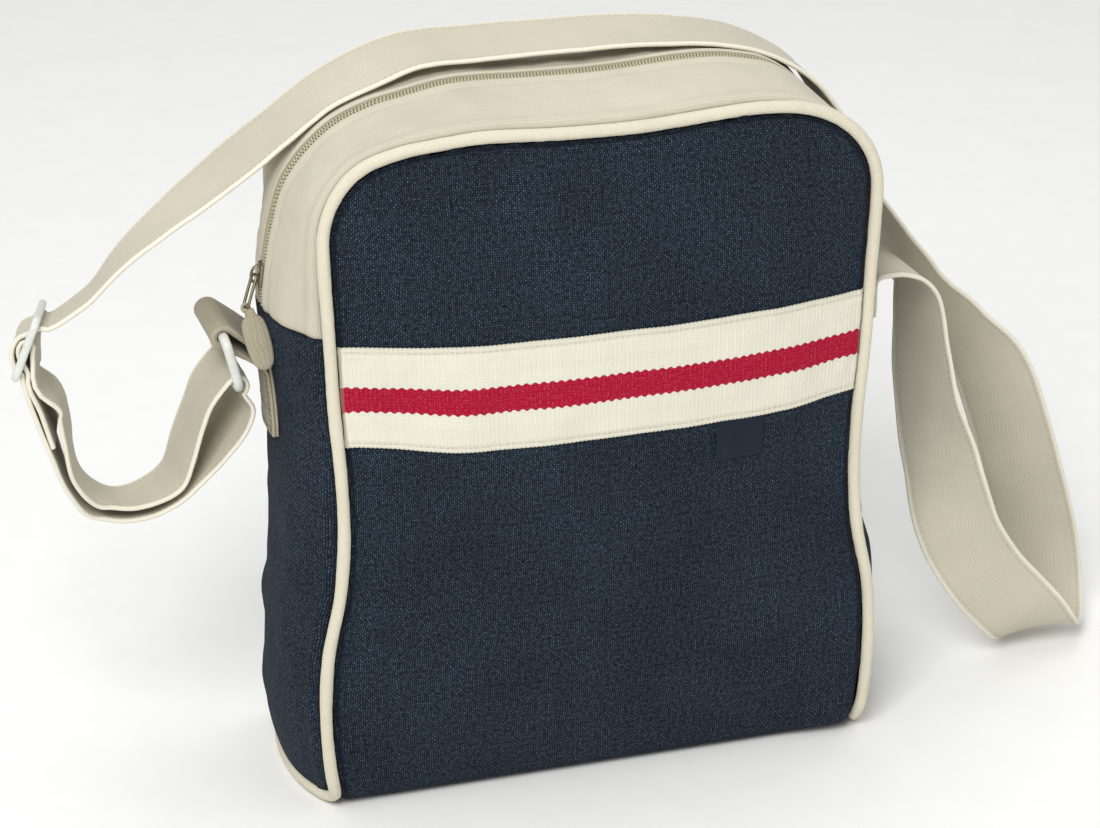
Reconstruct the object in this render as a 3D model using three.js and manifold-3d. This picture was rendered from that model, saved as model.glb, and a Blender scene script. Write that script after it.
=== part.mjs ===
// Canvas shoulder bag standing on its base: an upright arch of navy canvas with a cream zip gusset over the top,
// cream piping, a striped band, a ring tab on the left side and a long flat strap. Millimetres, +Z up, front at -Y.
import * as THREE from "three";
import { mergeVertices } from "three/addons/utils/BufferGeometryUtils.js";
import Module from "manifold-3d";

const wasm = await Module();
wasm.setup();

// Body, measured to the centre of the piping
const WIDTH = 250;
const HEIGHT = 316;
const DEPTH = 100;
const TOP_RADIUS = 42;
const FOOT_RADIUS = 12;
const CLOTH = 1.6;
const GAP = 0.3;
const PIPING_RADIUS = 2.8;
const SEAM_HEIGHT = 231;
const FRONT_BULGE = 13;
const BACK_BULGE = 9;
const SIDE_BULGE = 18;
const BULGE_POWER = 2.4;
const ROLL_HEIGHT = 1.1;
const ROLL_WIDTH = 2.4;
const ROLL_INSET = 5.5;
const CORNER_LIFT = 0.6;

// Zip
const ZIP_OPENING = 8.8;
const TAPE_WIDTH = 18;
const TAPE = 0.8;
const COIL_WIDTH = 6;
const COIL_HEIGHT = 2.2;
const ZIP_SLIDER_LENGTH = 10;
const ZIP_SLIDER_RISE = 15;
const LINK_WIRE = 0.7;
const LINK_WIDTH = 6.6;
const PULLER_WIDTH = 10.5;
const PULLER_THICKNESS = 4;

// Band and label
const BAND_HEIGHT = 50;
const BAND_FOOT = 176.5;
const BAND = 1.2;
const LABEL_WIDTH = 23;
const LABEL_HEIGHT = 19;
const LABEL_X = 50;
const LABEL = 0.7;

// Strap and its hardware
const STRAP_WIDTH = 40;
const STRAP = 2;
const RING_WIRE = 2.2;
const RING_LENGTH = 46;
const RING_PITCH = 24;
const GLIDE_WIRE = 1.8;
const GLIDE_LENGTH = 46;
const GLIDE_PITCH = 13.5;
const TAB_WIDTH = 36;
const TAB = 3;
const TAB_FOOT = 170;
const HARDWARE_Y = 8;
const RING_STAND = 37;
const RING_DROP = 9;
const RING_LEAN = 5.5;
const GLIDE_STAND = 119;
const GLIDE_RISE = 2;
const GLIDE_TURN = -13;
const GLIDE_TIP = -12;
const STRAP_REACH = 125;
const STRAP_FLANGE = 16;

const HALF = WIDTH / 2;
const BACK = DEPTH / 2;
const EDGE = PIPING_RADIUS + GAP + 0.3;
const PIPING_FLOOR = PIPING_RADIUS + GAP;
const ARC_STEPS = 7;
const ZIP_SLIDER_HEIGHT = SEAM_HEIGHT + ZIP_SLIDER_RISE;

// Half width of the body, as a share of the straight side, by share of the height: the waist and the wide foot.
const WAIST = [
  { at: 0, share: 1.0 }, { at: 0.06, share: 1.03 }, { at: 0.158, share: 1.044 }, { at: 0.253, share: 1.028 },
  { at: 0.342, share: 0.981 }, { at: 0.43, share: 0.961 }, { at: 0.525, share: 0.965 }, { at: 0.627, share: 0.984 },
  { at: 0.744, share: 0.996 }, { at: 0.854, share: 1.008 }, { at: 1.1, share: 1.008 },
];
// Rise of the top edge, as a share of the height, by share of the half width.
const CREST = [
  { at: -1.1, share: 0.003 }, { at: -0.92, share: 0.004 }, { at: -0.74, share: -0.004 }, { at: -0.45, share: 0.003 },
  { at: -0.17, share: -0.003 }, { at: 0.12, share: -0.005 }, { at: 0.41, share: 0.002 }, { at: 0.56, share: 0.004 }, { at: 0.8, share: -0.003 },
  { at: 1.1, share: 0 },
];
// Outward bulge of the gusset, as a share of SIDE_BULGE, by share of the way from the left foot over to the right foot.
const GUSSET = [
  { at: 0, share: 0.68 }, { at: 0.03, share: 0.74 }, { at: 0.06, share: 0.77 }, { at: 0.1, share: 0.87 },
  { at: 0.14, share: 1.08 }, { at: 0.18, share: 1.12 }, { at: 0.205, share: 0.96 }, { at: 0.23, share: 0.91 },
  { at: 0.274, share: 1.0 }, { at: 0.305, share: 0.74 }, { at: 0.333, share: 0.4 },
  { at: 0.363, share: 0.12 }, { at: 0.402, share: 0.3 }, { at: 0.44, share: 0.48 }, { at: 0.5, share: 0.53 },
  { at: 0.56, share: 0.5 }, { at: 0.6, share: 0.3 }, { at: 0.637, share: -0.04 }, { at: 0.676, share: 0.34 },
  { at: 0.726, share: 0.78 }, { at: 0.8, share: 0.83 }, { at: 0.88, share: 0.78 }, { at: 0.95, share: 0.72 },
  { at: 1, share: 0.68 },
];
// Fullness of the front and back, as a share of their bulge, by share of the height.
const FULLNESS = [
  { at: 0, share: 0 }, { at: 0.045, share: 0 }, { at: 0.15, share: 0.55 }, { at: 0.3, share: 0.86 },
  { at: 0.5, share: 1.0 }, { at: 0.7, share: 1.0 }, { at: 0.85, share: 0.72 }, { at: 0.95, share: 0.3 },
  { at: 0.99, share: 0 }, { at: 1.1, share: 0 },
];
// Soft folds and dents of the front: centre (x by half width, z by height), lie in degrees from the horizontal,
// long and short reach and height by half width.
const FOLDS = [
  { x: 0.66, z: 0.17, lie: 38, long: 0.34, short: 0.07, height: -0.02 },
  { x: 0.5, z: 0.1, lie: 30, long: 0.3, short: 0.08, height: 0.018 },
  { x: -0.5, z: 0.33, lie: 78, long: 0.4, short: 0.12, height: -0.014 },
  { x: -0.1, z: 0.47, lie: 4, long: 0.5, short: 0.08, height: -0.01 },
  { x: 0.25, z: 0.86, lie: -8, long: 0.4, short: 0.1, height: -0.014 },
  { x: -0.62, z: 0.84, lie: 55, long: 0.3, short: 0.1, height: 0.012 },
];

// Value of a table at a place: cubic pieces that pass through every row.
function read(table, place) {
  const last = table.length - 1;
  if (place <= table[0].at) return table[0].share;
  if (place >= table[last].at) return table[last].share;
  let i = 0;
  while (table[i + 1].at < place) i += 1;
  const slope = (k) => {
    const a = table[Math.max(k - 1, 0)];
    const b = table[Math.min(k + 1, last)];
    return (b.share - a.share) / (b.at - a.at);
  };
  const span = table[i + 1].at - table[i].at;
  const t = (place - table[i].at) / span;
  const rise = t * t * (3 - 2 * t);
  const lean = t * (1 - t) * (1 - t) * slope(i) + t * t * (t - 1) * slope(i + 1);
  return table[i].share + (table[i + 1].share - table[i].share) * rise + span * lean;
}

const ramp = (t) => {
  const c = Math.min(Math.max(t, 0), 1);
  return c * c * (3 - 2 * c);
};

// In-plane set of the whole body: waist, crest and lifted foot corners.
function settle([x, y, z]) {
  const wide = x * read(WAIST, z / HEIGHT);
  const crest = HEIGHT * read(CREST, x / HALF) * ramp((z / HEIGHT - 0.72) / 0.28);
  const outer = Math.max(0, (Math.abs(x) / HALF - 0.62) / 0.38);
  const low = Math.max(0, 1 - z / 45);
  return [wide, y, z + crest + CORNER_LIFT * outer * outer * low * low];
}

// Stations along the arch from a height on the left, over the top, to a height on the right.
const STRAIGHT = HEIGHT - TOP_RADIUS;
const FLAT = WIDTH - 2 * TOP_RADIUS;
const QUARTER = (Math.PI / 2) * TOP_RADIUS;
const ARCH = 2 * STRAIGHT + 2 * QUARTER + FLAT;

function stationAt(s) {
  if (s < STRAIGHT) return { s, x: -HALF, z: s, nx: -1, nz: 0 };
  if (s > ARCH - STRAIGHT) return { s, x: HALF, z: ARCH - s, nx: 1, nz: 0 };
  const left = s - STRAIGHT;
  const right = ARCH - STRAIGHT - s;
  if (left >= QUARTER && right >= QUARTER) {
    return { s, x: left - QUARTER - FLAT / 2, z: HEIGHT, nx: 0, nz: 1 };
  }
  const side = left < QUARTER ? -1 : 1;
  const angle = (side < 0 ? left : right) / TOP_RADIUS;
  const nx = side * Math.cos(angle);
  const nz = Math.sin(angle);
  return { s, x: side * (HALF - TOP_RADIUS) + TOP_RADIUS * nx, z: STRAIGHT + TOP_RADIUS * nz, nx, nz };
}

function spread(from, to, steps) {
  return Array.from({ length: steps + 1 }, (_, i) => from + ((to - from) * i) / steps);
}

function archStations(low, sideSteps, flatSteps) {
  const left = spread(low, STRAIGHT, sideSteps);
  const rise = spread(STRAIGHT, STRAIGHT + QUARTER, ARC_STEPS).slice(1);
  const top = spread(STRAIGHT + QUARTER, ARCH - STRAIGHT - QUARTER, flatSteps).slice(1);
  const half = [...left, ...rise, ...top.slice(0, -1)];
  const right = [...left, ...rise].map((s) => ARCH - s).reverse();
  return [...half, ...right];
}

// Share of the full bulge at a depth: nothing at the piping, full at the zip, with a soft roll beside the seam.
function puff(y) {
  const t = Math.min(Math.abs(y) / (BACK - EDGE), 1);
  return 1 - Math.pow(t, BULGE_POWER);
}

function roll(y) {
  const t = (Math.abs(y) - (BACK - EDGE - ROLL_INSET)) / ROLL_WIDTH;
  return ROLL_HEIGHT * Math.exp(-t * t);
}

// A point of the gusset: along the arch, across the depth, and out from the cloth's middle.
function gussetPoint(s, y, out, rolled = 1) {
  const st = stationAt(s);
  const reach = out + SIDE_BULGE * read(GUSSET, s / ARCH) * puff(y) + rolled * roll(y);
  return settle([st.x + st.nx * reach, y, st.z + st.nz * reach]);
}

function faceRelief(u, x, z, fullness) {
  const fade = 1 - Math.pow(Math.abs(u), BULGE_POWER);
  let lift = fullness * read(FULLNESS, z / HEIGHT) * fade;
  for (const f of FOLDS) {
    const a = (f.lie * Math.PI) / 180;
    const dx = x / HALF - f.x;
    const dz = (z - f.z * HEIGHT) / HALF;
    const along = (dx * Math.cos(a) + dz * Math.sin(a)) / f.long;
    const across = (dz * Math.cos(a) - dx * Math.sin(a)) / f.short;
    lift += HALF * f.height * Math.exp(-along * along - across * across) * ramp((1 - Math.abs(u)) * 6) *
      ramp(read(FULLNESS, z / HEIGHT) * 2);
  }
  return lift;
}

// Rows of a face from under the foot to the top edge. Each row knows its height, its half width, and how far the
// cloth has curled under at the foot.
function faceRows(sideHeights) {
  const foot = spread(Math.PI / 2, 0, 4).map((a) => ({
    z: CLOTH / 2 + FOOT_RADIUS * (1 - Math.sin(a)),
    half: HALF - EDGE,
    curl: FOOT_RADIUS * (1 - Math.cos(a)),
    ny: -Math.cos(a),
    nz: -Math.sin(a),
  }));
  const side = sideHeights.map((z) => ({ z, half: HALF - EDGE, curl: 0, ny: -1, nz: 0 }));
  const arc = spread(0, Math.PI / 2, ARC_STEPS).slice(1).map((a) => ({
    z: STRAIGHT + (TOP_RADIUS - EDGE) * Math.sin(a),
    half: HALF - TOP_RADIUS + (TOP_RADIUS - EDGE) * Math.cos(a),
    curl: 0,
    ny: -1,
    nz: 0,
  }));
  return [...foot, ...side, ...arc];
}

function facePoint(row, u, out, front) {
  const x = row.half * u;
  const lift = out + (front ? faceRelief(u, x, row.z, FRONT_BULGE) : BACK_BULGE * read(FULLNESS, row.z / HEIGHT) *
    (1 - Math.pow(Math.abs(u), BULGE_POWER)));
  const [px, py, pz] = [x, -BACK + row.curl + row.ny * lift, row.z + row.nz * lift];
  return settle([px, front ? py : -py, pz]);
}

// Closed shell from two grids of points, outer(i, j) and inner(i, j): skins plus the four edge walls.
function shell(rows, columns, outer, inner, flip = false) {
  const points = [];
  for (const f of [outer, inner]) {
    for (let i = 0; i < rows; i += 1) for (let j = 0; j < columns; j += 1) points.push(...f(i, j));
  }
  const at = (k, i, j) => k * rows * columns + i * columns + j;
  const faces = [];
  const quad = (a, b, c, d) => faces.push(a, b, c, a, c, d);
  for (let i = 0; i + 1 < rows; i += 1) {
    for (let j = 0; j + 1 < columns; j += 1) {
      quad(at(0, i, j), at(0, i, j + 1), at(0, i + 1, j + 1), at(0, i + 1, j));
      quad(at(1, i, j), at(1, i + 1, j), at(1, i + 1, j + 1), at(1, i, j + 1));
    }
  }
  for (let j = 0; j + 1 < columns; j += 1) {
    quad(at(0, 0, j), at(1, 0, j), at(1, 0, j + 1), at(0, 0, j + 1));
    quad(at(0, rows - 1, j), at(0, rows - 1, j + 1), at(1, rows - 1, j + 1), at(1, rows - 1, j));
  }
  for (let i = 0; i + 1 < rows; i += 1) {
    quad(at(0, i, 0), at(0, i + 1, 0), at(1, i + 1, 0), at(1, i, 0));
    quad(at(0, i, columns - 1), at(1, i, columns - 1), at(1, i + 1, columns - 1), at(0, i + 1, columns - 1));
  }
  return solid(points, faces, flip);
}

// Closed skin over rings of points; the ends are capped, or joined when the sweep is a loop.
function loft(rings, loop = false, flip = false) {
  const count = rings[0].length;
  const points = rings.flat(2);
  const faces = [];
  const last = loop ? rings.length : rings.length - 1;
  for (let i = 0; i < last; i += 1) {
    const next = ((i + 1) % rings.length) * count;
    for (let j = 0; j < count; j += 1) {
      const k = (j + 1) % count;
      faces.push(i * count + j, i * count + k, next + k, i * count + j, next + k, next + j);
    }
  }
  if (!loop) {
    const end = (rings.length - 1) * count;
    for (let j = 1; j + 1 < count; j += 1) {
      faces.push(0, j + 1, j, end, end + j, end + j + 1);
    }
  }
  return solid(points, faces, flip);
}

function solid(points, faces, flip) {
  const order = [];
  for (let i = 0; i < faces.length; i += 3) {
    order.push(faces[i], flip ? faces[i + 2] : faces[i + 1], flip ? faces[i + 1] : faces[i + 2]);
  }
  const geometry = new THREE.BufferGeometry();
  geometry.setAttribute("position", new THREE.Float32BufferAttribute(points, 3));
  geometry.setIndex(order);
  return geometry;
}

function toSolid(geometry) {
  const bare = geometry.index ? geometry.toNonIndexed() : geometry.clone();
  bare.deleteAttribute("normal");
  bare.deleteAttribute("uv");
  const merged = mergeVertices(bare, 1e-3);
  return new wasm.Manifold(new wasm.Mesh({
    numProp: 3,
    vertProperties: merged.attributes.position.array,
    triVerts: new Uint32Array(merged.index.array),
  }));
}

function fromSolid(made) {
  const mesh = made.getMesh();
  const points = [];
  for (let i = 0; i < mesh.numVert; i += 1) {
    points.push(...mesh.vertProperties.subarray(i * mesh.numProp, i * mesh.numProp + 3));
  }
  return solid(points, [...mesh.triVerts], false);
}

// Moves every vertex of a geometry through a map of space.
function through(geometry, map) {
  const position = geometry.attributes.position;
  for (let i = 0; i < position.count; i += 1) {
    position.setXYZ(i, ...map(position.getX(i), position.getY(i), position.getZ(i)));
  }
  return geometry;
}

const group = new THREE.Group();
const finish = (color, roughness, metalness = 0) => ({ color, roughness, metalness });
const NAVY = finish("#2b3547", 0.95);
const CREAM = finish("#ddd3bd", 0.92);
const PIPING_CREAM = finish("#e9dfc9", 0.88);
const BAND_CREAM = finish("#eee8d8", 0.85);
const ZIP_TAN = finish("#bdb38d", 0.7);
const METAL = finish("#a39a80", 0.4, 0.9);
const PLASTIC = finish("#e7e9e2", 0.35);
const LABEL_NAVY = finish("#27314a", 0.7);

function add(name, geometry, look) {
  const mesh = new THREE.Mesh(geometry, new THREE.MeshStandardMaterial({
    color: new THREE.Color(look.color),
    roughness: look.roughness,
    metalness: look.metalness,
  }));
  mesh.name = name;
  group.add(mesh);
  return mesh;
}

// Front and back panels, curled under at the foot
const BAND_TOP = BAND_FOOT + BAND_HEIGHT;
const bandHeights = spread(BAND_FOOT, BAND_TOP, 4);
const underBand = spread(CLOTH / 2 + FOOT_RADIUS, BAND_FOOT, 10).slice(1, -1);
const overBand = spread(BAND_TOP, STRAIGHT, 4).slice(1);
const frontRows = faceRows([...underBand, ...bandHeights, ...overBand]);
const backRows = faceRows(spread(CLOTH / 2 + FOOT_RADIUS, STRAIGHT, 10).slice(1));
const FRONT_COLUMNS = spread(-1, 1, 16);
const BACK_COLUMNS = spread(-1, 1, 12);
const acrossColumns = (columns) => columns.map((t) => Math.sign(t) * (1 - Math.pow(1 - Math.abs(t), 1.35)));
const frontU = acrossColumns(FRONT_COLUMNS);
const backU = acrossColumns(BACK_COLUMNS);

function faceSheet(rows, us, near, far, front) {
  return shell(rows.length, us.length,
    (i, j) => facePoint(rows[i], us[j], far, front),
    (i, j) => facePoint(rows[i], us[j], near, front), !front);
}
add("front_panel", faceSheet(frontRows, frontU, -CLOTH / 2, CLOTH / 2, true), NAVY);
add("back_panel", faceSheet(backRows, backU, -CLOTH / 2, CLOTH / 2, false), NAVY);

// Striped band across the front, and the small label under its lower edge
const bandRows = frontRows.filter((row) => row.z > BAND_FOOT - GAP && row.z < BAND_TOP + GAP);
const overCloth = CLOTH / 2 + GAP;
add("stripe_band", faceSheet(bandRows, frontU, overCloth, overCloth + BAND, true), BAND_CREAM);
const labelRows = spread(BAND_FOOT - GAP - LABEL_HEIGHT, BAND_FOOT - GAP, 3)
  .map((z) => ({ z, half: HALF - EDGE, curl: 0, ny: -1, nz: 0 }));
const labelU = spread(LABEL_X, LABEL_X + LABEL_WIDTH, 3).map((x) => x / (HALF - EDGE));
add("side_label", faceSheet(labelRows, labelU, overCloth, overCloth + LABEL, true), LABEL_NAVY);

// Base between the curled feet of the two faces
const baseY = spread(-(BACK - FOOT_RADIUS - GAP), BACK - FOOT_RADIUS - GAP, 8);
const baseX = [...spread(-1, -0.62, 4), ...spread(-0.62, 0.62, 4).slice(1, -1), ...spread(0.62, 1, 4)];
function basePoint(u, y, up) {
  const bow = SIDE_BULGE * GUSSET[0].share * puff(y) * Math.pow(Math.abs(u), 3) * Math.sign(u);
  return settle([(HALF - EDGE) * u + bow, y, up]);
}
add("bottom_panel", shell(baseY.length, baseX.length,
  (i, j) => basePoint(baseX[j], baseY[i], 0),
  (i, j) => basePoint(baseX[j], baseY[i], CLOTH), true), NAVY);

// Side panels from the foot to the seam under the zip gusset
const SIDE_FOOT = PIPING_FLOOR + EDGE;
const SIDE_CORNER = FOOT_RADIUS - EDGE;
const sideHalf = (z) => {
  const rise = SIDE_FOOT + SIDE_CORNER - z;
  const inner = BACK - EDGE - SIDE_CORNER;
  return rise > 0 ? inner + Math.sqrt(Math.max(0, SIDE_CORNER * SIDE_CORNER - rise * rise)) : BACK - EDGE;
};
const sideZ = [
  ...spread(Math.PI / 2, 0, 4).map((a) => SIDE_FOOT + SIDE_CORNER * (1 - Math.sin(a))),
  ...spread(SIDE_FOOT + SIDE_CORNER, SEAM_HEIGHT - GAP / 2, 11).slice(1),
];
const acrossSide = [-1, -0.94, -0.87, -0.7, -0.4, 0, 0.4, 0.7, 0.87, 0.94, 1];
function sidePanel(side) {
  const place = (i, j, out) => {
    const s = side < 0 ? sideZ[i] : ARCH - sideZ[i];
    const low = ramp((sideZ[i] - SIDE_FOOT) / SIDE_CORNER);
    return gussetPoint(s, sideHalf(sideZ[i]) * acrossSide[j], out, low);
  };
  return shell(sideZ.length, acrossSide.length,
    (i, j) => place(i, j, CLOTH / 2), (i, j) => place(i, j, -CLOTH / 2), side < 0);
}
add("side_panel_left", sidePanel(-1), NAVY);
add("side_panel_right", sidePanel(1), NAVY);

// Zip gusset: a strip on each side of the zip, and the zip tape with its coil between them
const stations = archStations(SEAM_HEIGHT + GAP / 2, 4, 8);
const stripInner = ZIP_OPENING / 2;
const stripShares = [0, 0.12, 0.34, 0.58, 0.76, 0.88, 0.95, 1];
function gussetStrip(side) {
  const y = (j) => side * (stripInner + (BACK - EDGE - stripInner) * stripShares[j]);
  return shell(stations.length, stripShares.length,
    (i, j) => gussetPoint(stations[i], y(j), CLOTH / 2),
    (i, j) => gussetPoint(stations[i], y(j), -CLOTH / 2), side > 0);
}
add("top_gusset_front", gussetStrip(-1), CREAM);
add("top_gusset_back", gussetStrip(1), CREAM);

const tapeTop = -CLOTH / 2 - GAP;
const zipSection = [
  [-TAPE_WIDTH / 2, tapeTop - TAPE], [TAPE_WIDTH / 2, tapeTop - TAPE], [TAPE_WIDTH / 2, tapeTop],
  [COIL_WIDTH / 2, tapeTop], [COIL_WIDTH / 2 - 0.7, tapeTop + COIL_HEIGHT],
  [-COIL_WIDTH / 2 + 0.7, tapeTop + COIL_HEIGHT], [-COIL_WIDTH / 2, tapeTop], [-TAPE_WIDTH / 2, tapeTop],
];
add("zip_chain", loft(stations.map((s) => zipSection.map(([y, out]) => gussetPoint(s, y, out, 0)))), ZIP_TAN);

// Piping: one loop round each gusset edge and under the foot at both sides
function pipingPath() {
  const arch = archStations(PIPING_FLOOR + FOOT_RADIUS, 11, 8);
  const path = [];
  const push = (x, y, z) => path.push(settle([x, y, z]));
  const foot = (side, from, to) => {
    const corner = BACK - FOOT_RADIUS;
    const low = PIPING_FLOOR;
    for (const a of spread(0, Math.PI / 2, 5).slice(1)) {
      push(side * HALF, from * (corner + FOOT_RADIUS * Math.cos(a)), low + FOOT_RADIUS * (1 - Math.sin(a)));
    }
    for (const y of spread(from * corner, to * corner, 8).slice(1, -1)) push(side * HALF, y, low);
    for (const a of spread(Math.PI / 2, 0, 5).slice(0, -1)) {
      push(side * HALF, to * (corner + FOOT_RADIUS * Math.cos(a)), low + FOOT_RADIUS * (1 - Math.sin(a)));
    }
  };
  for (const s of arch) push(stationAt(s).x, -BACK, stationAt(s).z);
  foot(1, -1, 1);
  for (const s of [...arch].reverse()) push(stationAt(s).x, BACK, stationAt(s).z);
  foot(-1, 1, -1);
  const bow = SIDE_BULGE * GUSSET[0].share;
  return path.map(([x, y, z]) => {
    const near = ramp(1 - (z - PIPING_FLOOR) / FOOT_RADIUS);
    return new THREE.Vector3(x + Math.sign(x) * bow * puff(y) * near, y, z);
  });
}

// Round tube of one radius along a path; loops are joined end to end with the twist spread along the way.
function tube(path, radius, sides, loop) {
  const n = path.length;
  const tangent = path.map((p, i) => {
    const before = loop ? path[(i - 1 + n) % n] : path[Math.max(i - 1, 0)];
    const after = loop ? path[(i + 1) % n] : path[Math.min(i + 1, n - 1)];
    return after.clone().sub(before).normalize();
  });
  const normal = [new THREE.Vector3(0, 0, 1).cross(tangent[0])];
  if (normal[0].length() < 0.1) normal[0].set(1, 0, 0).cross(tangent[0]);
  normal[0].normalize();
  for (let i = 1; i < n; i += 1) {
    const carried = normal[i - 1].clone().addScaledVector(tangent[i], -normal[i - 1].dot(tangent[i]));
    normal.push(carried.normalize());
  }
  const closing = normal[n - 1].clone().addScaledVector(tangent[0], -normal[n - 1].dot(tangent[0])).normalize();
  const side0 = tangent[0].clone().cross(normal[0]);
  const drift = loop ? Math.atan2(closing.dot(side0), closing.dot(normal[0])) : 0;
  return loft(path.map((p, i) => {
    const side = tangent[i].clone().cross(normal[i]);
    return Array.from({ length: sides }, (_, k) => {
      const a = (2 * Math.PI * k) / sides - (drift * i) / n;
      return p.clone().addScaledVector(normal[i], radius * Math.cos(a)).addScaledVector(side, radius * Math.sin(a))
        .toArray();
    });
  }), loop);
}
add("piping", tube(pipingPath(), PIPING_RADIUS, 6, true), PIPING_CREAM);

// Zip slider: a channel over the coil with a bridge for the link, drawn flat and then laid on the gusset
const sliderLip = (ZIP_OPENING + COIL_WIDTH) / 4;
const coilTop = tapeTop + COIL_HEIGHT;
function zipSlider() {
  const outer = sliderLip + 0.3;
  const inner = sliderLip - 0.4;
  const roof = coilTop + GAP;
  const channel = new THREE.Shape([
    [-outer, tapeTop + GAP], [-outer, roof + 1.2], [outer, roof + 1.2], [outer, tapeTop + GAP],
    [inner, tapeTop + GAP], [inner, roof], [-inner, roof], [-inner, tapeTop + GAP],
  ].map(([x, y]) => new THREE.Vector2(x, y)));
  const body = new THREE.ExtrudeGeometry(channel, { depth: ZIP_SLIDER_LENGTH, bevelEnabled: false, steps: 3 });
  const half = ZIP_SLIDER_LENGTH / 2;
  const low = roof + 0.9;
  const bridge = new THREE.Shape([[-half * 0.8, low], [half * 0.8, low], [half * 0.6, low + 3.7],
    [-half * 0.6, low + 3.7]].map(([x, y]) => new THREE.Vector2(x, y)));
  const eye = new THREE.Path();
  eye.absarc(0, low + 1.7, LINK_WIRE + 0.6, 0, 2 * Math.PI, true);
  bridge.holes.push(eye);
  const rib = new THREE.ExtrudeGeometry(bridge, { depth: 2, bevelEnabled: false, curveSegments: 5 });
  rib.applyMatrix4(new THREE.Matrix4().makeBasis(new THREE.Vector3(0, 0, 1), new THREE.Vector3(0, 1, 0),
    new THREE.Vector3(-1, 0, 0)));
  rib.translate(1, 0, half);
  const made = fromSolid(toSolid(body).add(toSolid(rib)));
  return through(made, (y, out, along) => gussetPoint(ZIP_SLIDER_HEIGHT - half + along, y, out, 0));
}
add("zip_slider", zipSlider(), METAL);
const eyePoint = new THREE.Vector3(...gussetPoint(ZIP_SLIDER_HEIGHT, 0, coilTop + GAP + 0.9 + 1.7, 0));

// Rounded rectangle wire path in the plane of two unit directions
function framePath(centre, across, along, halfAcross, halfAlong, corner, steps = 4) {
  const path = [];
  const quarters = [[1, 1, 0], [-1, 1, 1], [-1, -1, 2], [1, -1, 3]];
  for (const [sx, sy, q] of quarters) {
    for (const a of spread((q * Math.PI) / 2, ((q + 1) * Math.PI) / 2, steps)) {
      path.push(centre.clone()
        .addScaledVector(across, sx * (halfAcross - corner) + corner * Math.cos(a))
        .addScaledVector(along, sy * (halfAlong - corner) + corner * Math.sin(a)));
    }
  }
  return path;
}

// Link of bent wire through the slider's eye, and the cloth puller that hangs from it against the tab's front end
const linkDrop = new THREE.Vector3(-0.36, -0.26, -0.89).normalize();
const linkAcross = new THREE.Vector3(0, 1, 0).addScaledVector(linkDrop, -linkDrop.y).normalize();
const LINK_HALF = 7.5;
const linkCentre = eyePoint.clone().addScaledVector(linkDrop, LINK_HALF);
add("zip_pull_link", tube(framePath(linkCentre, linkAcross, linkDrop, LINK_WIDTH / 2, LINK_HALF, 2),
  LINK_WIRE, 6, true), METAL);

const PULLER_LENGTH = 31;
const pullerTop = linkCentre.clone().addScaledVector(linkDrop, LINK_HALF - 2.2);
const pullerEnd = new THREE.Vector3(-HALF - RING_STAND + 16.8, HARDWARE_Y - 34, SEAM_HEIGHT - RING_DROP - 18);
function zipPuller() {
  const down = pullerEnd.clone().sub(pullerTop).normalize();
  const wide = new THREE.Vector3(1, 0, 0).addScaledVector(down, -down.x).normalize();
  const thick = down.clone().cross(wide);
  const profile = [
    { at: 0, wide: 0.3, thick: 0.7 }, { at: 0.04, wide: 0.4, thick: 1 }, { at: 0.14, wide: 0.42, thick: 1 },
    { at: 0.24, wide: 0.86, thick: 0.95 }, { at: 0.45, wide: 1, thick: 1 }, { at: 0.75, wide: 0.92, thick: 0.95 },
    { at: 0.93, wide: 0.72, thick: 0.8 }, { at: 1, wide: 0.4, thick: 0.4 },
  ];
  const rings = profile.map((row) => Array.from({ length: 12 }, (_, k) => {
    const a = (2 * Math.PI * k) / 12;
    const c = Math.sign(Math.cos(a)) * Math.pow(Math.abs(Math.cos(a)), 0.6);
    const d = Math.sign(Math.sin(a)) * Math.pow(Math.abs(Math.sin(a)), 0.6);
    return pullerTop.clone().addScaledVector(down, row.at * PULLER_LENGTH)
      .addScaledVector(wide, (c * row.wide * PULLER_WIDTH) / 2)
      .addScaledVector(thick, (d * row.thick * PULLER_THICKNESS) / 2).toArray();
  }));
  const body = toSolid(loft(rings));
  const wire = linkCentre.clone().addScaledVector(linkDrop, LINK_HALF);
  const reach = linkAcross.clone().multiplyScalar(12);
  const hole = toSolid(tube([wire.clone().sub(reach), wire.clone().add(reach)], LINK_WIRE + GAP + 0.3, 10, false));
  const turned = body.volume() < 0 ? toSolid(loft(rings, false, true)) : body;
  return fromSolid(turned.subtract(hole.volume() < 0 ? hole.scale([1, 1, 1]) : hole));
}
add("zip_puller", zipPuller(), CREAM);

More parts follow.
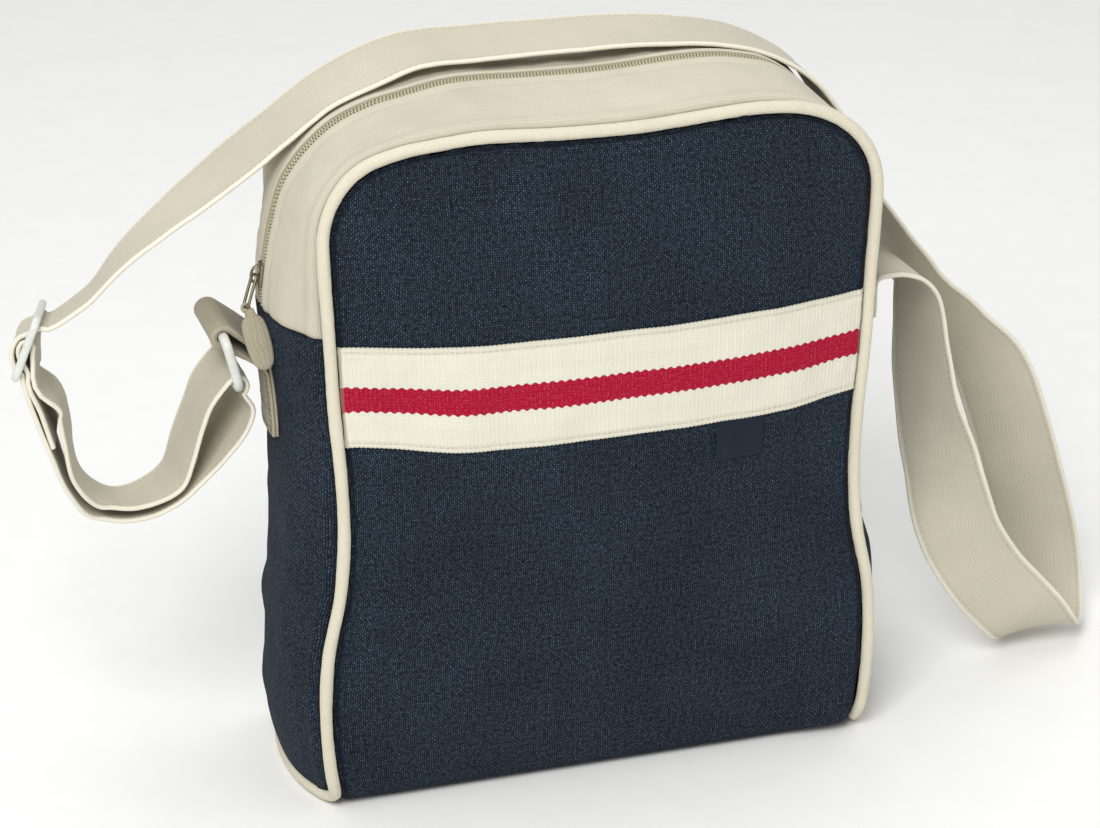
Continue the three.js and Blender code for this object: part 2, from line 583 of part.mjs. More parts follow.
// Ring tab: a patch on the left side panel whose upper end folds round the ring's upper bar
const ringTop = new THREE.Vector2(-HALF - RING_STAND, SEAM_HEIGHT - RING_DROP);
const ringLow = new THREE.Vector2(ringTop.x + RING_LEAN, ringTop.y - Math.sqrt(RING_PITCH ** 2 - RING_LEAN ** 2));
const surfaceX = (y, z) => gussetPoint(z, y, CLOTH / 2)[0];
function ringTab() {
  const hole = RING_WIRE + GAP + 0.3;
  const outer = hole + TAB * 0.95;
  const patchTop = ringTop.y - outer - TAB * 2;
  const inner = spread(TAB_FOOT, patchTop, 3).map((z) => [surfaceX(HARDWARE_Y, z) - GAP, z]);
  const outside = spread(patchTop - 4, TAB_FOOT, 3).map((z) => [surfaceX(HARDWARE_Y, z) - GAP - TAB, z]);
  const arc = spread(40, 255, 12).map((deg) => {
    const a = (deg * Math.PI) / 180;
    return [ringTop.x + outer * Math.cos(a), ringTop.y + outer * Math.sin(a)];
  });
  const shape = new THREE.Shape([...inner, ...arc, ...outside].map(([x, z]) => new THREE.Vector2(x, z)));
  const eye = spread(0, 330, 11).map((deg) => {
    const a = (deg * Math.PI) / 180;
    return new THREE.Vector2(ringTop.x + hole * Math.cos(a), ringTop.y + hole * Math.sin(a));
  });
  shape.holes.push(new THREE.Path(eye));
  const made = new THREE.ExtrudeGeometry(shape, { depth: TAB_WIDTH, bevelEnabled: false, steps: 6 });
  return through(made, (x, z, along) => {
    const y = HARDWARE_Y + TAB_WIDTH / 2 - along;
    const held = 1 - ramp((surfaceX(HARDWARE_Y, z) - TAB - GAP - x) / 4);
    return [x + held * (surfaceX(y, z) - surfaceX(HARDWARE_Y, z)), y, z];
  });
}
add("ring_tab", ringTab(), CREAM);

const inPlane = (p, y) => new THREE.Vector3(p.x, y, p.y);
const depthWise = new THREE.Vector3(0, 1, 0);
const ringDrop = inPlane(ringLow.clone().sub(ringTop), 0).normalize();
const ringCentre = inPlane(ringTop.clone().add(ringLow).multiplyScalar(0.5), HARDWARE_Y);
add("strap_ring", tube(framePath(ringCentre, depthWise, ringDrop, RING_LENGTH / 2,
  ringTop.distanceTo(ringLow) / 2, 5), RING_WIRE, 8, true), PLASTIC);

// Strap slider: a frame with a centre bar
const glide = new THREE.Vector2(-HALF - GLIDE_STAND, ringTop.y + GLIDE_RISE);
const glideUp = new THREE.Vector2(0.385, 0.923).normalize();
function widthAt(turn, tip) {
  return new THREE.Vector3(-Math.sin(turn) * Math.cos(tip), Math.cos(turn) * Math.cos(tip), Math.sin(tip));
}
const glideCentre = inPlane(glide, HARDWARE_Y);
const glideAxis = widthAt((GLIDE_TURN * Math.PI) / 180, (GLIDE_TIP * Math.PI) / 180);
const glideRise = inPlane(glideUp, 0);
glideRise.addScaledVector(glideAxis, -glideRise.dot(glideAxis)).normalize();
const glideOut = glideRise.clone().cross(glideAxis);
function strapSlider() {
  const frame = toSolid(tube(framePath(glideCentre, glideAxis, glideRise, GLIDE_LENGTH / 2, GLIDE_PITCH, 4),
    GLIDE_WIRE, 8, true));
  const reach = glideAxis.clone().multiplyScalar(GLIDE_LENGTH / 2);
  const bar = toSolid(tube([glideCentre.clone().sub(reach), glideCentre.clone().add(reach)], GLIDE_WIRE, 8, false));
  return fromSolid(frame.add(bar));
}
add("strap_slider", strapSlider(), PLASTIC);

// Strap course. Free runs: centre (x by half width, and past the body's side by STRAP_REACH; y by depth; z by height, or
// drop below the ring's upper bar by STRAP_REACH), turn of the width away from the depth direction toward the left,
// and tip of its far edge upward, in degrees. Wrapped runs are arcs round the bars.
const barAt = (out, up) => {
  const p = glideCentre.clone().addScaledVector(glideOut, out).addScaledVector(glideRise, up);
  const drop = (ringTop.y - p.z) / STRAP_REACH;
  return { x: (p.x + HALF) / STRAP_REACH - 1, y: p.y / DEPTH, drop, turn: GLIDE_TURN, tip: GLIDE_TIP };
};
const lap = STRAP + GAP + 0.1;
const hug = GLIDE_WIRE + GAP + STRAP / 2;
const hw = HARDWARE_Y / DEPTH;
const flat = (p) => ({ x: (p.x + HALF) / STRAP_REACH - 1, y: hw, drop: (ringTop.y - p.y) / STRAP_REACH, turn: 0, tip: 0 });
const arcRound = (centre, radius, from, to, steps) => spread(from, to, steps).map((deg) => {
  const a = (deg * Math.PI) / 180;
  return flat(new THREE.Vector2(centre.x + radius * Math.cos(a), centre.y + radius * Math.sin(a)));
});
const ringHug = RING_WIRE + GAP + STRAP / 2 + 0.8;
const STRAP_COURSE = [
  // tail end, up to the slider's centre bar and round it
  { x: -1.888, y: hw - 0.045, drop: 0.327, turn: -14, tip: -9 },
  { x: -1.922, y: hw - 0.03, drop: 0.209, turn: -13, tip: -11 },
  barAt(-hug - lap - 0.1, -GLIDE_PITCH),
  barAt(-hug - lap * 0.55, 1.1 * hug - GLIDE_PITCH),
  barAt(-hug * 0.5, 2 * hug - GLIDE_PITCH),
  barAt(hug * 0.5, -hug * 1.5),
  barAt(hug, -hug * 0.4),
  barAt(hug * 0.8, hug * 0.66),
  barAt(0, hug * 1.06),
  barAt(-hug * 0.8, hug * 0.66),
  barAt(-hug * 1.06, -hug * 0.4),
  barAt(-hug - lap * 0.9, -hug * 2),
  barAt(-hug - 2.3 * lap, -GLIDE_PITCH),
  // inner strand of the hanging loop, down and up to the ring
  { x: -1.868, y: hw - 0.03, drop: 0.204, turn: -13, tip: -11 },
  { x: -1.85, y: hw - 0.04, drop: 0.305, turn: -13, tip: -10 },
  { x: -1.825, y: hw - 0.03, drop: 0.464, turn: -12, tip: -9 },
  { x: -1.755, y: hw, drop: 0.588, turn: -6, tip: -10 },
  { x: -1.67, y: hw, drop: 0.633, turn: 0, tip: -11 },
  { x: -1.58, y: hw, drop: 0.626, turn: 2, tip: -10 },
  { x: -1.475, y: hw, drop: 0.568, turn: 3, tip: -7 },
  { x: -1.43, y: hw, drop: 0.462, turn: 3, tip: -3 },
  { x: -1.388, y: hw, drop: 0.345, turn: 0, tip: 0 },
  { x: -1.345, y: hw, drop: 0.245, turn: 0, tip: 0 },
  ...arcRound(ringLow, ringHug, 118, -62, 8),
  // outer strand back down and up to the slider
  { x: -1.218, y: hw, drop: 0.284, turn: 8, tip: 0 },
  { x: -1.252, y: hw, drop: 0.36, turn: 11, tip: 0 },
  { x: -1.316, y: hw, drop: 0.444, turn: 11, tip: -2 },
  { x: -1.4, y: hw, drop: 0.542, turn: 7, tip: -5 },
  { x: -1.49, y: hw, drop: 0.628, turn: 3, tip: -8 },
  { x: -1.585, y: hw, drop: 0.674, turn: 1, tip: -10 },
  { x: -1.69, y: hw, drop: 0.676, turn: 0, tip: -10 },
  { x: -1.785, y: hw, drop: 0.626, turn: -4, tip: -9 },
  { x: -1.855, y: hw - 0.03, drop: 0.507, turn: -11, tip: -9 },
  { x: -1.9, y: hw - 0.04, drop: 0.365, turn: -12, tip: -10 },
  { x: -1.94, y: hw - 0.03, drop: 0.229, turn: -13, tip: -11 },
  barAt(-hug - 0.15, -GLIDE_PITCH),
  barAt(-hug * 0.72, hug * 0.76 - GLIDE_PITCH),
  barAt(hug * 0.26, hug * 1.06 - GLIDE_PITCH),
  barAt(hug + lap * 0.6, -hug * 1.7),
  barAt(hug + lap, -hug * 0.3),
  barAt(hug + lap * 0.66, hug * 1.05),
  barAt(hug * 0.5, hug * 2),
  barAt(-hug * 0.5, GLIDE_PITCH - hug * 1.1),
  barAt(-hug * 1.6, GLIDE_PITCH - hug * 0.9),
  // up over the bag behind the zip
  { x: -1.74, y: 0.095, z: 0.762, turn: -11, tip: -10 },
  { x: -1.624, y: 0.11, z: 0.807, turn: -8, tip: -7 },
  { x: -1.48, y: 0.145, z: 0.848, turn: -4, tip: -3 },
  { x: -1.32, y: 0.19, z: 0.886, turn: -1, tip: 2 },
  { x: -1.168, y: 0.235, z: 0.923, turn: 0, tip: 5 },
  { x: -1.008, y: 0.265, z: 0.963, turn: 0, tip: 4 },
  { x: -0.856, y: 0.28, z: 1.003, turn: 0, tip: 4 },
  { x: -0.672, y: 0.28, z: 1.034, turn: 0, tip: 7 },
  { x: -0.53, y: 0.28, z: 1.05, turn: 0, tip: 5 },
  { x: -0.3, y: 0.28, z: 1.052, turn: 0, tip: 5 },
  { x: 0, y: 0.28, z: 1.051, turn: 0, tip: 4 },
  { x: 0.29, y: 0.28, z: 1.048, turn: 0, tip: 3 },
  { x: 0.54, y: 0.28, z: 1.037, turn: 0, tip: 1 },
  { x: 0.7, y: 0.27, z: 1.023, turn: 0, tip: 0 },
  { x: 0.84, y: 0.265, z: 0.9965, turn: 0, tip: 0 },
  { x: 0.965, y: 0.26, z: 0.958, turn: 0, tip: 0 },
  { x: 1.075, y: 0.265, z: 0.892, turn: 1, tip: 0 },
  // rear strand of the right-hand loop
  { x: 1.17, y: 0.29, z: 0.8, turn: 5, tip: 0 },
  { x: 1.295, y: 0.29, z: 0.72, turn: 12, tip: 0 },
  { x: 1.42, y: 0.29, z: 0.634, turn: 28, tip: 0 },
  { x: 1.6, y: 0.285, z: 0.546, turn: 44, tip: 0 },
  { x: 1.76, y: 0.28, z: 0.463, turn: 58, tip: 0 },
  { x: 1.857, y: 0.3, z: 0.373, turn: 62, tip: 0 },
  { x: 1.936, y: 0.32, z: 0.278, turn: 68, tip: 0 },
  { x: 2.005, y: 0.33, z: 0.19, turn: 73, tip: 0 },
  { x: 2.048, y: 0.32, z: 0.12, turn: 80, tip: 0 },
  { x: 2.056, y: 0.28, z: 0.069, turn: 82, tip: 0 },
  { x: 2.03, y: 0.195, z: 0.037, turn: 78, tip: -1 },
  { x: 1.98, y: 0.095, z: 0.029, turn: 74, tip: -5 },
  { x: 1.928, y: 0.005, z: 0.041, turn: 76, tip: -12 },
  // front strand up to the right side
  { x: 1.87, y: -0.05, z: 0.065, turn: 82, tip: -19 },
  { x: 1.78, y: -0.08, z: 0.104, turn: 86, tip: -25 },
  { x: 1.66, y: -0.1, z: 0.16, turn: 86, tip: -28 },
  { x: 1.538, y: -0.1, z: 0.243, turn: 74, tip: -25 },
  { x: 1.47, y: -0.06, z: 0.35, turn: 48, tip: -14 },
  { x: 1.4, y: -0.02, z: 0.475, turn: 27, tip: -6 },
  { x: 1.372, y: 0, z: 0.585, turn: 16, tip: -2 },
  { x: 1.352, y: 0, z: 0.642, turn: 10, tip: 0 },
  { x: 1.31, y: 0, z: 0.672, turn: 4, tip: 0 },
  { x: 1.24, y: 0, z: 0.686, turn: 0, tip: 0 },
  { x: 1.16, y: 0, z: 0.687, turn: 0, tip: 0 },
];

// Rows of the strap: a smooth curve through the course, with the width held square to it
function strapRows() {
  const course = STRAP_COURSE.map((row) => ({
    p: new THREE.Vector3(
      Math.sign(row.x) * (Math.min(Math.abs(row.x), 1) * HALF + Math.max(Math.abs(row.x) - 1, 0) * STRAP_REACH),
      row.y * DEPTH,
      "drop" in row ? ringTop.y - row.drop * STRAP_REACH : row.z * HEIGHT,
    ),
    turn: (row.turn * Math.PI) / 180,
    tip: (row.tip * Math.PI) / 180,
  }));
  // the end turned down and sewn on the right side panel
  const outside = (z, y) => gussetPoint(ARCH - z, y, CLOTH / 2 + GAP + STRAP / 2)[0];
  const bend = 3.2;
  const top = course[course.length - 1].p.z;
  const wall = outside(top - bend, 0);
  course[course.length - 1].p.x = wall + bend + 2.5;
  for (const [dx, dz] of [[bend * 0.3, 0.94 * bend * 0.35], [0, bend]]) {
    course.push({ p: new THREE.Vector3(wall + dx, 0, top - dz), turn: 0, tip: 0 });
  }
  for (const dz of [bend + STRAP_FLANGE / 2, bend + STRAP_FLANGE]) {
    course.push({ p: new THREE.Vector3(outside(top - dz, 0), 0, top - dz), turn: 0, tip: 0 });
  }
  const curve = new THREE.CatmullRomCurve3(course.map((c) => c.p), false, "centripetal");
  const rows = [];
  for (let i = 0; i + 1 < course.length; i += 1) {
    const length = course[i].p.distanceTo(course[i + 1].p);
    const steps = length > 24 ? 3 : length > 11 ? 2 : 1;
    for (let k = 0; k < steps; k += 1) {
      const t = k / steps;
      rows.push({ t: (i + t) / (course.length - 1), a: course[i], b: course[i + 1], w: ramp(t) });
    }
  }
  const end = course[course.length - 1];
  rows.push({ t: 1, a: end, b: end, w: 0 });
  const wides = rows.map((row) => {
    const turn = row.a.turn + (row.b.turn - row.a.turn) * row.w;
    const tip = row.a.tip + (row.b.tip - row.a.tip) * row.w;
    return widthAt(turn, tip);
  });
  return rows.map((row, i) => {
    const tangent = curve.getTangent(row.t);
    const wide = wides[i].clone().multiplyScalar(2).add(wides[Math.max(i - 1, 0)])
      .add(wides[Math.min(i + 1, rows.length - 1)]);
    wide.addScaledVector(tangent, -wide.dot(tangent)).normalize();
    return { p: curve.getPoint(row.t), wide, out: tangent.clone().cross(wide).normalize() };
  });
}

function strap() {
  const half = STRAP_WIDTH / 2;
  const thick = STRAP / 2;
  const section = [[-half, -thick], [half, -thick], [half, thick], [-half, thick]];
  return loft(strapRows().map(({ p, wide, out }) => section.map(([w, t]) =>
    p.clone().addScaledVector(wide, w).addScaledVector(out, t).toArray())));
}
add("strap", strap(), CREAM);

export default group;
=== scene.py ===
"""Dressed scene of a canvas shoulder bag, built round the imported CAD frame.

Lengths are millimetres inside the classes and become metres when a mesh is made. +X is to the right as seen from the
front, +Y from front to back, +Z up, as in the frame.
"""

import logging
import math
from dataclasses import dataclass
from enum import Enum

import bpy
import numpy as np
from mathutils import Matrix, Vector


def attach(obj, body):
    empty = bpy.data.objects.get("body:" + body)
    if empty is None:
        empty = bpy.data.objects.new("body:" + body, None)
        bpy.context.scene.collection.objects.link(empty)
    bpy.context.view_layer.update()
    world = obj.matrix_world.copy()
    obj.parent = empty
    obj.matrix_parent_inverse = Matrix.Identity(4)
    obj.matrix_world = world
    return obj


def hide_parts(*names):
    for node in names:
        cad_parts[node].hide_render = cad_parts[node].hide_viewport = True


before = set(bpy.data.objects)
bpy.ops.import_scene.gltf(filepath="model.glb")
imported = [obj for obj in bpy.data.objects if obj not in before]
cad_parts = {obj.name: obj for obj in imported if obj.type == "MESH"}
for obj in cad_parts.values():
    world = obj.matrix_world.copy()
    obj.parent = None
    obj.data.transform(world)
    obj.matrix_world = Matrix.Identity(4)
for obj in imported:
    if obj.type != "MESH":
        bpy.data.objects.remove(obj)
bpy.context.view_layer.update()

MM = 0.001
Array = np.ndarray
log = logging.getLogger("bag")


class Face(Enum):
    """The two large faces of the bag, by the sign of their depth."""

    FRONT = -1
    BACK = 1


class Side(Enum):
    """The two narrow sides of the bag, by the sign of their x."""

    LEFT = -1
    RIGHT = 1


class Slot(Enum):
    """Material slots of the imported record."""

    NAVY = "navy_canvas"
    CREAM = "cream_canvas"
    PIPING = "piping_cotton"
    BAND = "band_webbing"
    LABEL = "label_cloth"
    ZIP = "zip_nylon"
    METAL = "zip_metal"
    PLASTIC = "white_plastic"


def smooth(t: Array) -> Array:
    """Zero below 0, one above 1, and 3t^2 - 2t^3 between."""
    c = np.clip(t, 0.0, 1.0)
    return c * c * (3 - 2 * c)


def unit(v: Array) -> Array:
    """Vectors along the last axis, scaled to length one."""
    return v / np.maximum(np.linalg.norm(v, axis=-1, keepdims=True), 1e-9)


def stack(x: Array, y: Array, z: Array) -> Array:
    """Points from three arrays that broadcast together."""
    return np.stack(np.broadcast_arrays(x, y, z), axis=-1).astype(float)


@dataclass(frozen=True)
class Curve:
    """Smooth curve through rows of (place, value)."""

    rows: tuple[tuple[float, float], ...]

    def at(self, place: Array) -> Array:
        """Value at each place: cubic pieces whose slope at a row is that of the chord between its neighbours.

        Args:
            place: Where the curve is read, in the units of the first column.

        Returns:
            The values, held level past both ends.
        """
        knots, values = np.array(self.rows).T
        after = np.minimum(np.arange(len(knots)) + 1, len(knots) - 1)
        before = np.maximum(np.arange(len(knots)) - 1, 0)
        slopes = (values[after] - values[before]) / (knots[after] - knots[before])
        place = np.clip(place, knots[0], knots[-1])
        i = np.clip(np.searchsorted(knots, place) - 1, 0, len(knots) - 2)
        span = knots[i + 1] - knots[i]
        t = (place - knots[i]) / span
        lean = t * (1 - t) ** 2 * slopes[i] + t * t * (t - 1) * slopes[i + 1]
        return values[i] + (values[i + 1] - values[i]) * smooth(t) + span * lean


@dataclass(frozen=True)
class Ripple:
    """Smooth uneven relief of cloth."""

    seed: int
    wave: float
    height: float
    waves: int = 16
    stretch: float = 1.0

    def at(self, x: Array, y: Array) -> Array:
        """Height at (x, y): the mean of plane sine waves with seeded directions, lengths near `wave`, and phases.

        Args:
            x: First coordinate over the cloth, in millimetres.
            y: Second coordinate, which `stretch` lengthens the waves along.

        Returns:
            Heights in millimetres, within about `height` either way.
        """
        rng = np.random.default_rng(self.seed)
        turn = rng.uniform(0, 2 * np.pi, self.waves)
        number = 2 * np.pi / (self.wave * rng.uniform(0.6, 1.7, self.waves))
        phase = rng.uniform(0, 2 * np.pi, self.waves)
        x, y = np.broadcast_arrays(x, y)
        total = np.zeros(x.shape)
        for a, k, p in zip(turn, number, phase):
            total = total + np.sin(k * (np.cos(a) * x + np.sin(a) * y / self.stretch) + p)
        return self.height * total * math.sqrt(2.0 / self.waves) * 0.5


@dataclass
class Cloth:
    """A sheet as its middle surface: points, outward normals, quads and coordinates along the threads."""

    points: Array
    normals: Array
    quads: Array
    uv: Array
    painted_shading: Array

    @staticmethod
    def grid(points: Array, uv: Array, outward: Array, painted_shading: Array | float = 0.0) -> "Cloth":
        """Sheet over a grid of points; a normal is the cross product of the two grid directions, turned to `outward`.

        Args:
            points: Grid (rows, columns, 3).
            uv: Thread coordinates in millimetres, (rows, columns, 2).
            outward: A direction on the outer side of every point.
            painted_shading: Share of painted shade at each point.

        Returns:
            The sheet, its quads facing outwards.
        """
        rows, columns = points.shape[:2]
        normals = unit(np.cross(np.gradient(points, axis=1), np.gradient(points, axis=0)))
        outer = np.sum(normals * outward) > 0
        index = np.arange(rows * columns).reshape(rows, columns)
        corners = [index[:-1, :-1], index[:-1, 1:], index[1:, 1:], index[1:, :-1]]
        quads = np.stack(corners if outer else corners[::-1], axis=-1).reshape(-1, 4)
        painted_shading_map = np.broadcast_to(painted_shading, (rows, columns)).astype(float)
        return Cloth(
            points.reshape(-1, 3), (normals if outer else -normals).reshape(-1, 3), quads,
            uv.reshape(-1, 2), painted_shading_map.ravel(),
        )

    def hem(self, border: Array, radius: float, reach: float, steps: int = 5) -> "Cloth":
        """Turns the sheet inwards along a border: a quarter circle of `radius`, then `reach` straight in.

        Args:
            border: Indices of the border's points, in order.
            radius: Radius of the bend at the middle of the cloth.
            reach: Length of the straight part after the bend.
            steps: Rows of the bend.

        Returns:
            The sheet with the turned strip joined on.
        """
        p, n = self.points[border], self.normals[border]
        tangent = unit(np.gradient(p, axis=0))
        away = unit(np.cross(tangent, n))
        inside = self.points[self.quads].mean(axis=1)
        nearest = inside[np.argmin(np.linalg.norm(inside - p[len(p) // 2], axis=1))]
        forward = np.sum(away[len(p) // 2] * (p[len(p) // 2] - nearest)) > 0
        away = away if forward else -away
        turn = np.linspace(0, np.pi / 2, steps + 1)[1:]
        bend = np.concatenate([turn, [np.pi / 2]])[:, None, None]
        drop = radius * (1 - np.cos(bend))
        drop[-1] += reach
        strip = p + radius * np.sin(bend) * away - drop * n
        facing = np.cos(bend) * n + np.sin(bend) * away
        count, rows = len(border), len(bend)
        fresh = len(self.points) + np.arange(rows * count).reshape(rows, count)
        lines = np.vstack([border[None, :], fresh])
        corners = [lines[:-1, :-1], lines[:-1, 1:], lines[1:, 1:], lines[1:, :-1]]
        quads = np.stack(corners if not forward else corners[::-1], axis=-1).reshape(-1, 4)
        uv = np.repeat(self.uv[border][None], rows, axis=0) + bend * radius * 0.7
        return Cloth(
            np.vstack([self.points, strip.reshape(-1, 3)]),
            np.vstack([self.normals, facing.reshape(-1, 3)]),
            np.vstack([self.quads, quads]),
            np.vstack([self.uv, uv.reshape(-1, 2)]),
            # The turned-in strip is given painted shade, from 0.7 at the fold to 1 at its end.
            np.concatenate([self.painted_shading, np.repeat(np.linspace(0.7, 1.0, rows), count)]),
        )

    def make(self, name: str, thickness: float | Array) -> bpy.types.Object:
        """Closed sheet: the middle surface moved half the thickness each way, and walls on its open edges.

        Args:
            name: Name of the piece.
            thickness: Thickness in millimetres, for all points or each.

        Returns:
            The piece.
        """
        half = np.broadcast_to(thickness, len(self.points))[:, None] / 2
        points = np.vstack([self.points + half * self.normals, self.points - half * self.normals])
        count = len(self.points)
        edges = np.stack([self.quads, np.roll(self.quads, -1, axis=1)], axis=-1).reshape(-1, 2)
        key = np.sort(edges, axis=1)
        _, first, uses = np.unique(key, axis=0, return_index=True, return_counts=True)
        rim = edges[first[uses == 1]]
        walls = np.stack([rim[:, 1], rim[:, 0], rim[:, 0] + count, rim[:, 1] + count], axis=-1)
        quads = np.vstack([self.quads, self.quads[:, ::-1] + count, walls])
        uv = np.vstack([self.uv, self.uv])
        return make_mesh(name, points, [quads], [uv[quads]], np.tile(self.painted_shading, 2))


def make_mesh(
    name: str, points: Array, faces: list[Array], uvs: list[Array], painted_shading: Array | None = None, sharp: float = 50
) -> bpy.types.Object:
    """Mesh object from whole arrays.

    Args:
        name: Name of the piece.
        points: Vertices in millimetres, (n, 3).
        faces: Arrays of faces, each with one number of corners.
        uvs: For each array of faces, the coordinates at its corners, in millimetres.
        painted_shading: Share of painted shade at each vertex, and below zero of painted highlight.
        sharp: Angle in degrees past which an edge is drawn sharp.

    Returns:
        The object, linked to the scene at the origin.
    """
    mesh = bpy.data.meshes.new(name)
    sizes = np.concatenate([np.full(len(f), f.shape[1]) for f in faces])
    corners = np.concatenate([f.ravel() for f in faces]).astype(np.int32)
    mesh.vertices.add(len(points))
    mesh.vertices.foreach_set("co", (points * MM).astype(np.float32).ravel())
    mesh.loops.add(len(corners))
    mesh.loops.foreach_set("vertex_index", corners)
    mesh.polygons.add(len(sizes))
    starts = np.concatenate([[0], np.cumsum(sizes)[:-1]]).astype(np.int32)
    mesh.polygons.foreach_set("loop_start", starts)
    mesh.update(calc_edges=True)
    layer = mesh.uv_layers.new(name="cloth")
    flat = np.concatenate([u.reshape(-1, 2) for u in uvs])
    layer.data.foreach_set("uv", flat.astype(np.float32).ravel())
    if painted_shading is not None:
        # The cloth material reads this attribute: painted shade where it is above zero, painted highlight where it is
        # below.
        painted_shading_map = mesh.attributes.new("painted_shading_attr", "FLOAT", "POINT")
        painted_shading_map.data.foreach_set("value", painted_shading.astype(np.float32))
    mesh.polygons.foreach_set("use_smooth", np.ones(len(sizes), bool))
    mesh.set_sharp_from_angle(angle=math.radians(sharp))
    mesh.validate()
    piece = bpy.data.objects.new(name, mesh)
    bpy.context.scene.collection.objects.link(piece)
    return piece


def sweep(rings: Array, along: Array, loop: bool, wrap: float) -> tuple[Array, list[Array], list[Array]]:
    """Closed skin over rings of points, with a pole at each end or the last ring joined to the first.

    Args:
        rings: Points (rings, points in a ring, 3).
        along: Distance of each ring along the way, with one more at the end for a loop.
        loop: Whether the way is closed.
        wrap: Length round a ring, for the coordinates.

    Returns:
        Points, face arrays and corner coordinates for `make_mesh`.
    """
    n, k = rings.shape[:2]
    rows = n if loop else n - 1
    i, j = np.meshgrid(np.arange(rows), np.arange(k), indexing="ij")
    a, b = i * k + j, i * k + (j + 1) % k
    step = ((i + 1) % n) * k - i * k
    quads = np.stack([a, b, b + step, a + step], axis=-1).reshape(-1, 4)
    s0, s1 = along[i], along[i + 1] if loop else along[np.minimum(i + 1, n - 1)]
    v0, v1 = wrap * j / k, wrap * (j + 1) / k
    uv = np.stack([np.stack([s0, v0], -1), np.stack([s0, v1], -1), np.stack([s1, v1], -1), np.stack([s1, v0], -1)], 2)
    points, faces, uvs = rings.reshape(-1, 3), [quads], [uv.reshape(-1, 4, 2)]
    if not loop:
        poles = rings[[0, -1]].mean(axis=1)
        points = np.vstack([points, poles])
        ring = np.arange(k)
        after = (ring + 1) % k
        last = (n - 1) * k
        low = np.stack([np.full(k, n * k), after, ring], axis=-1)
        high = np.stack([np.full(k, n * k + 1), last + ring, last + after], axis=-1)
        ends = np.vstack([low, high])
        place = np.concatenate([np.full(k, along[0]), np.full(k, along[-1])])
        round_ = np.tile(wrap * ring / k, 2)
        faces.append(ends)
        uvs.append(np.repeat(np.stack([place, round_], -1)[:, None], 3, axis=1))
    return points, faces, uvs


def outwards(piece: bpy.types.Object) -> bpy.types.Object:
    """Turns every face over if the closed mesh encloses a negative volume.

    Args:
        piece: The piece, which is one closed mesh or several.

    Returns:
        The same piece.
    """
    mesh = piece.data
    mesh.calc_loop_triangles()
    co = np.zeros(len(mesh.vertices) * 3, np.float32)
    mesh.vertices.foreach_get("co", co)
    tri = np.zeros(len(mesh.loop_triangles) * 3, np.int32)
    mesh.loop_triangles.foreach_get("vertices", tri)
    a, b, c = co.reshape(-1, 3)[tri.reshape(-1, 3)].transpose(1, 0, 2).astype(float)
    if np.sum(np.cross(a, b) * c) < 0:
        mesh.flip_normals()
    return piece


def lengths(path: Array, loop: bool = False) -> Array:
    """Distance of each point along a path, and for a loop one more, back at its start."""
    points = np.vstack([path, path[:1]]) if loop else path
    return np.concatenate([[0.0], np.cumsum(np.linalg.norm(np.diff(points, axis=0), axis=1))])


def width_at(turn: Array | float, tip: Array | float) -> Array:
    """Direction across a strap: the depth direction turned towards the left, then tipped up, in radians."""
    return stack(-np.sin(turn) * np.cos(tip), np.cos(turn) * np.cos(tip), np.sin(tip))


def frame_path(
    centre: Array, across: Array, along: Array, half_across: float, half_along: float, corner: float
) -> Array:
    """Rounded rectangle: four quarter circles in the plane of two directions, joined by straight runs.

    Args:
        centre: Its centre.
        across: First direction.
        along: Second direction.
        half_across: Half the size along the first.
        half_along: Half the size along the second.
        corner: Radius of the corners.

    Returns:
        Points of the closed path.
    """
    a = np.linspace(0, np.pi / 2, 9)
    turns = np.concatenate([a + q * np.pi / 2 for q in range(4)])
    first = np.repeat([1, -1, -1, 1], 9) * (half_across - corner) + corner * np.cos(turns)
    second = np.repeat([1, 1, -1, -1], 9) * (half_along - corner) + corner * np.sin(turns)
    return centre + first[:, None] * across + second[:, None] * along


def path_tangents(path: Array, loop: bool = False) -> Array:
    """Direction of a path at each of its points, from the points either side."""
    if loop:
        return unit(np.roll(path, -1, axis=0) - np.roll(path, 1, axis=0))
    return unit(np.gradient(path, axis=0))


def capsule(length: float, radius: float, rings: int = 4, sides: int = 6) -> tuple[Array, Array, Array]:
    """Small capsule along the first axis: radius times sqrt(1 - |t|^3), t from the middle to a pole.

    Args:
        length: Its whole length.
        radius: Its radius at the middle.
        rings: Rings between the poles.
        sides: Corners of a ring.

    Returns:
        Vertices, triangles at the poles, and quads.
    """
    t = np.linspace(-0.86, 0.86, rings)
    a = np.linspace(0, 2 * np.pi, sides, endpoint=False)
    swell = radius * (1 - np.abs(t) ** 3) ** 0.5
    body = stack((t * length / 2)[:, None], swell[:, None] * np.cos(a), swell[:, None] * np.sin(a)).reshape(-1, 3)
    points = np.vstack([body, [[-length / 2, 0, 0], [length / 2, 0, 0]]])
    i, j = np.meshgrid(np.arange(rings - 1), np.arange(sides), indexing="ij")
    k = (j + 1) % sides
    quads = np.stack([i * sides + j, (i + 1) * sides + j, (i + 1) * sides + k, i * sides + k], -1).reshape(-1, 4)
    ring, after, last = np.arange(sides), (np.arange(sides) + 1) % sides, (rings - 1) * sides
    low = np.stack([np.full(sides, rings * sides), ring, after], -1)
    high = np.stack([np.full(sides, rings * sides + 1), last + after, last + ring], -1)
    return points, np.vstack([low, high]), quads


def scatter(name: str, template: tuple[Array, Array, Array], placed: Array) -> bpy.types.Object:
    """One mesh of many copies of a template.

    Args:
        name: Name of the piece.
        template: Vertices, triangles and quads of one copy.
        placed: Vertices of every copy, (copies, vertices, 3).

    Returns:
        The piece.
    """
    _, tris, quads = template
    copies, count = placed.shape[:2]
    shift = (np.arange(copies) * count)[:, None, None]
    faces = [(part[None] + shift).reshape(-1, part.shape[1]) for part in (tris, quads)]
    flat = placed.reshape(-1, 3)
    uvs = [flat[f][..., [0, 2]] for f in faces]
    return make_mesh(name, flat, faces, uvs)


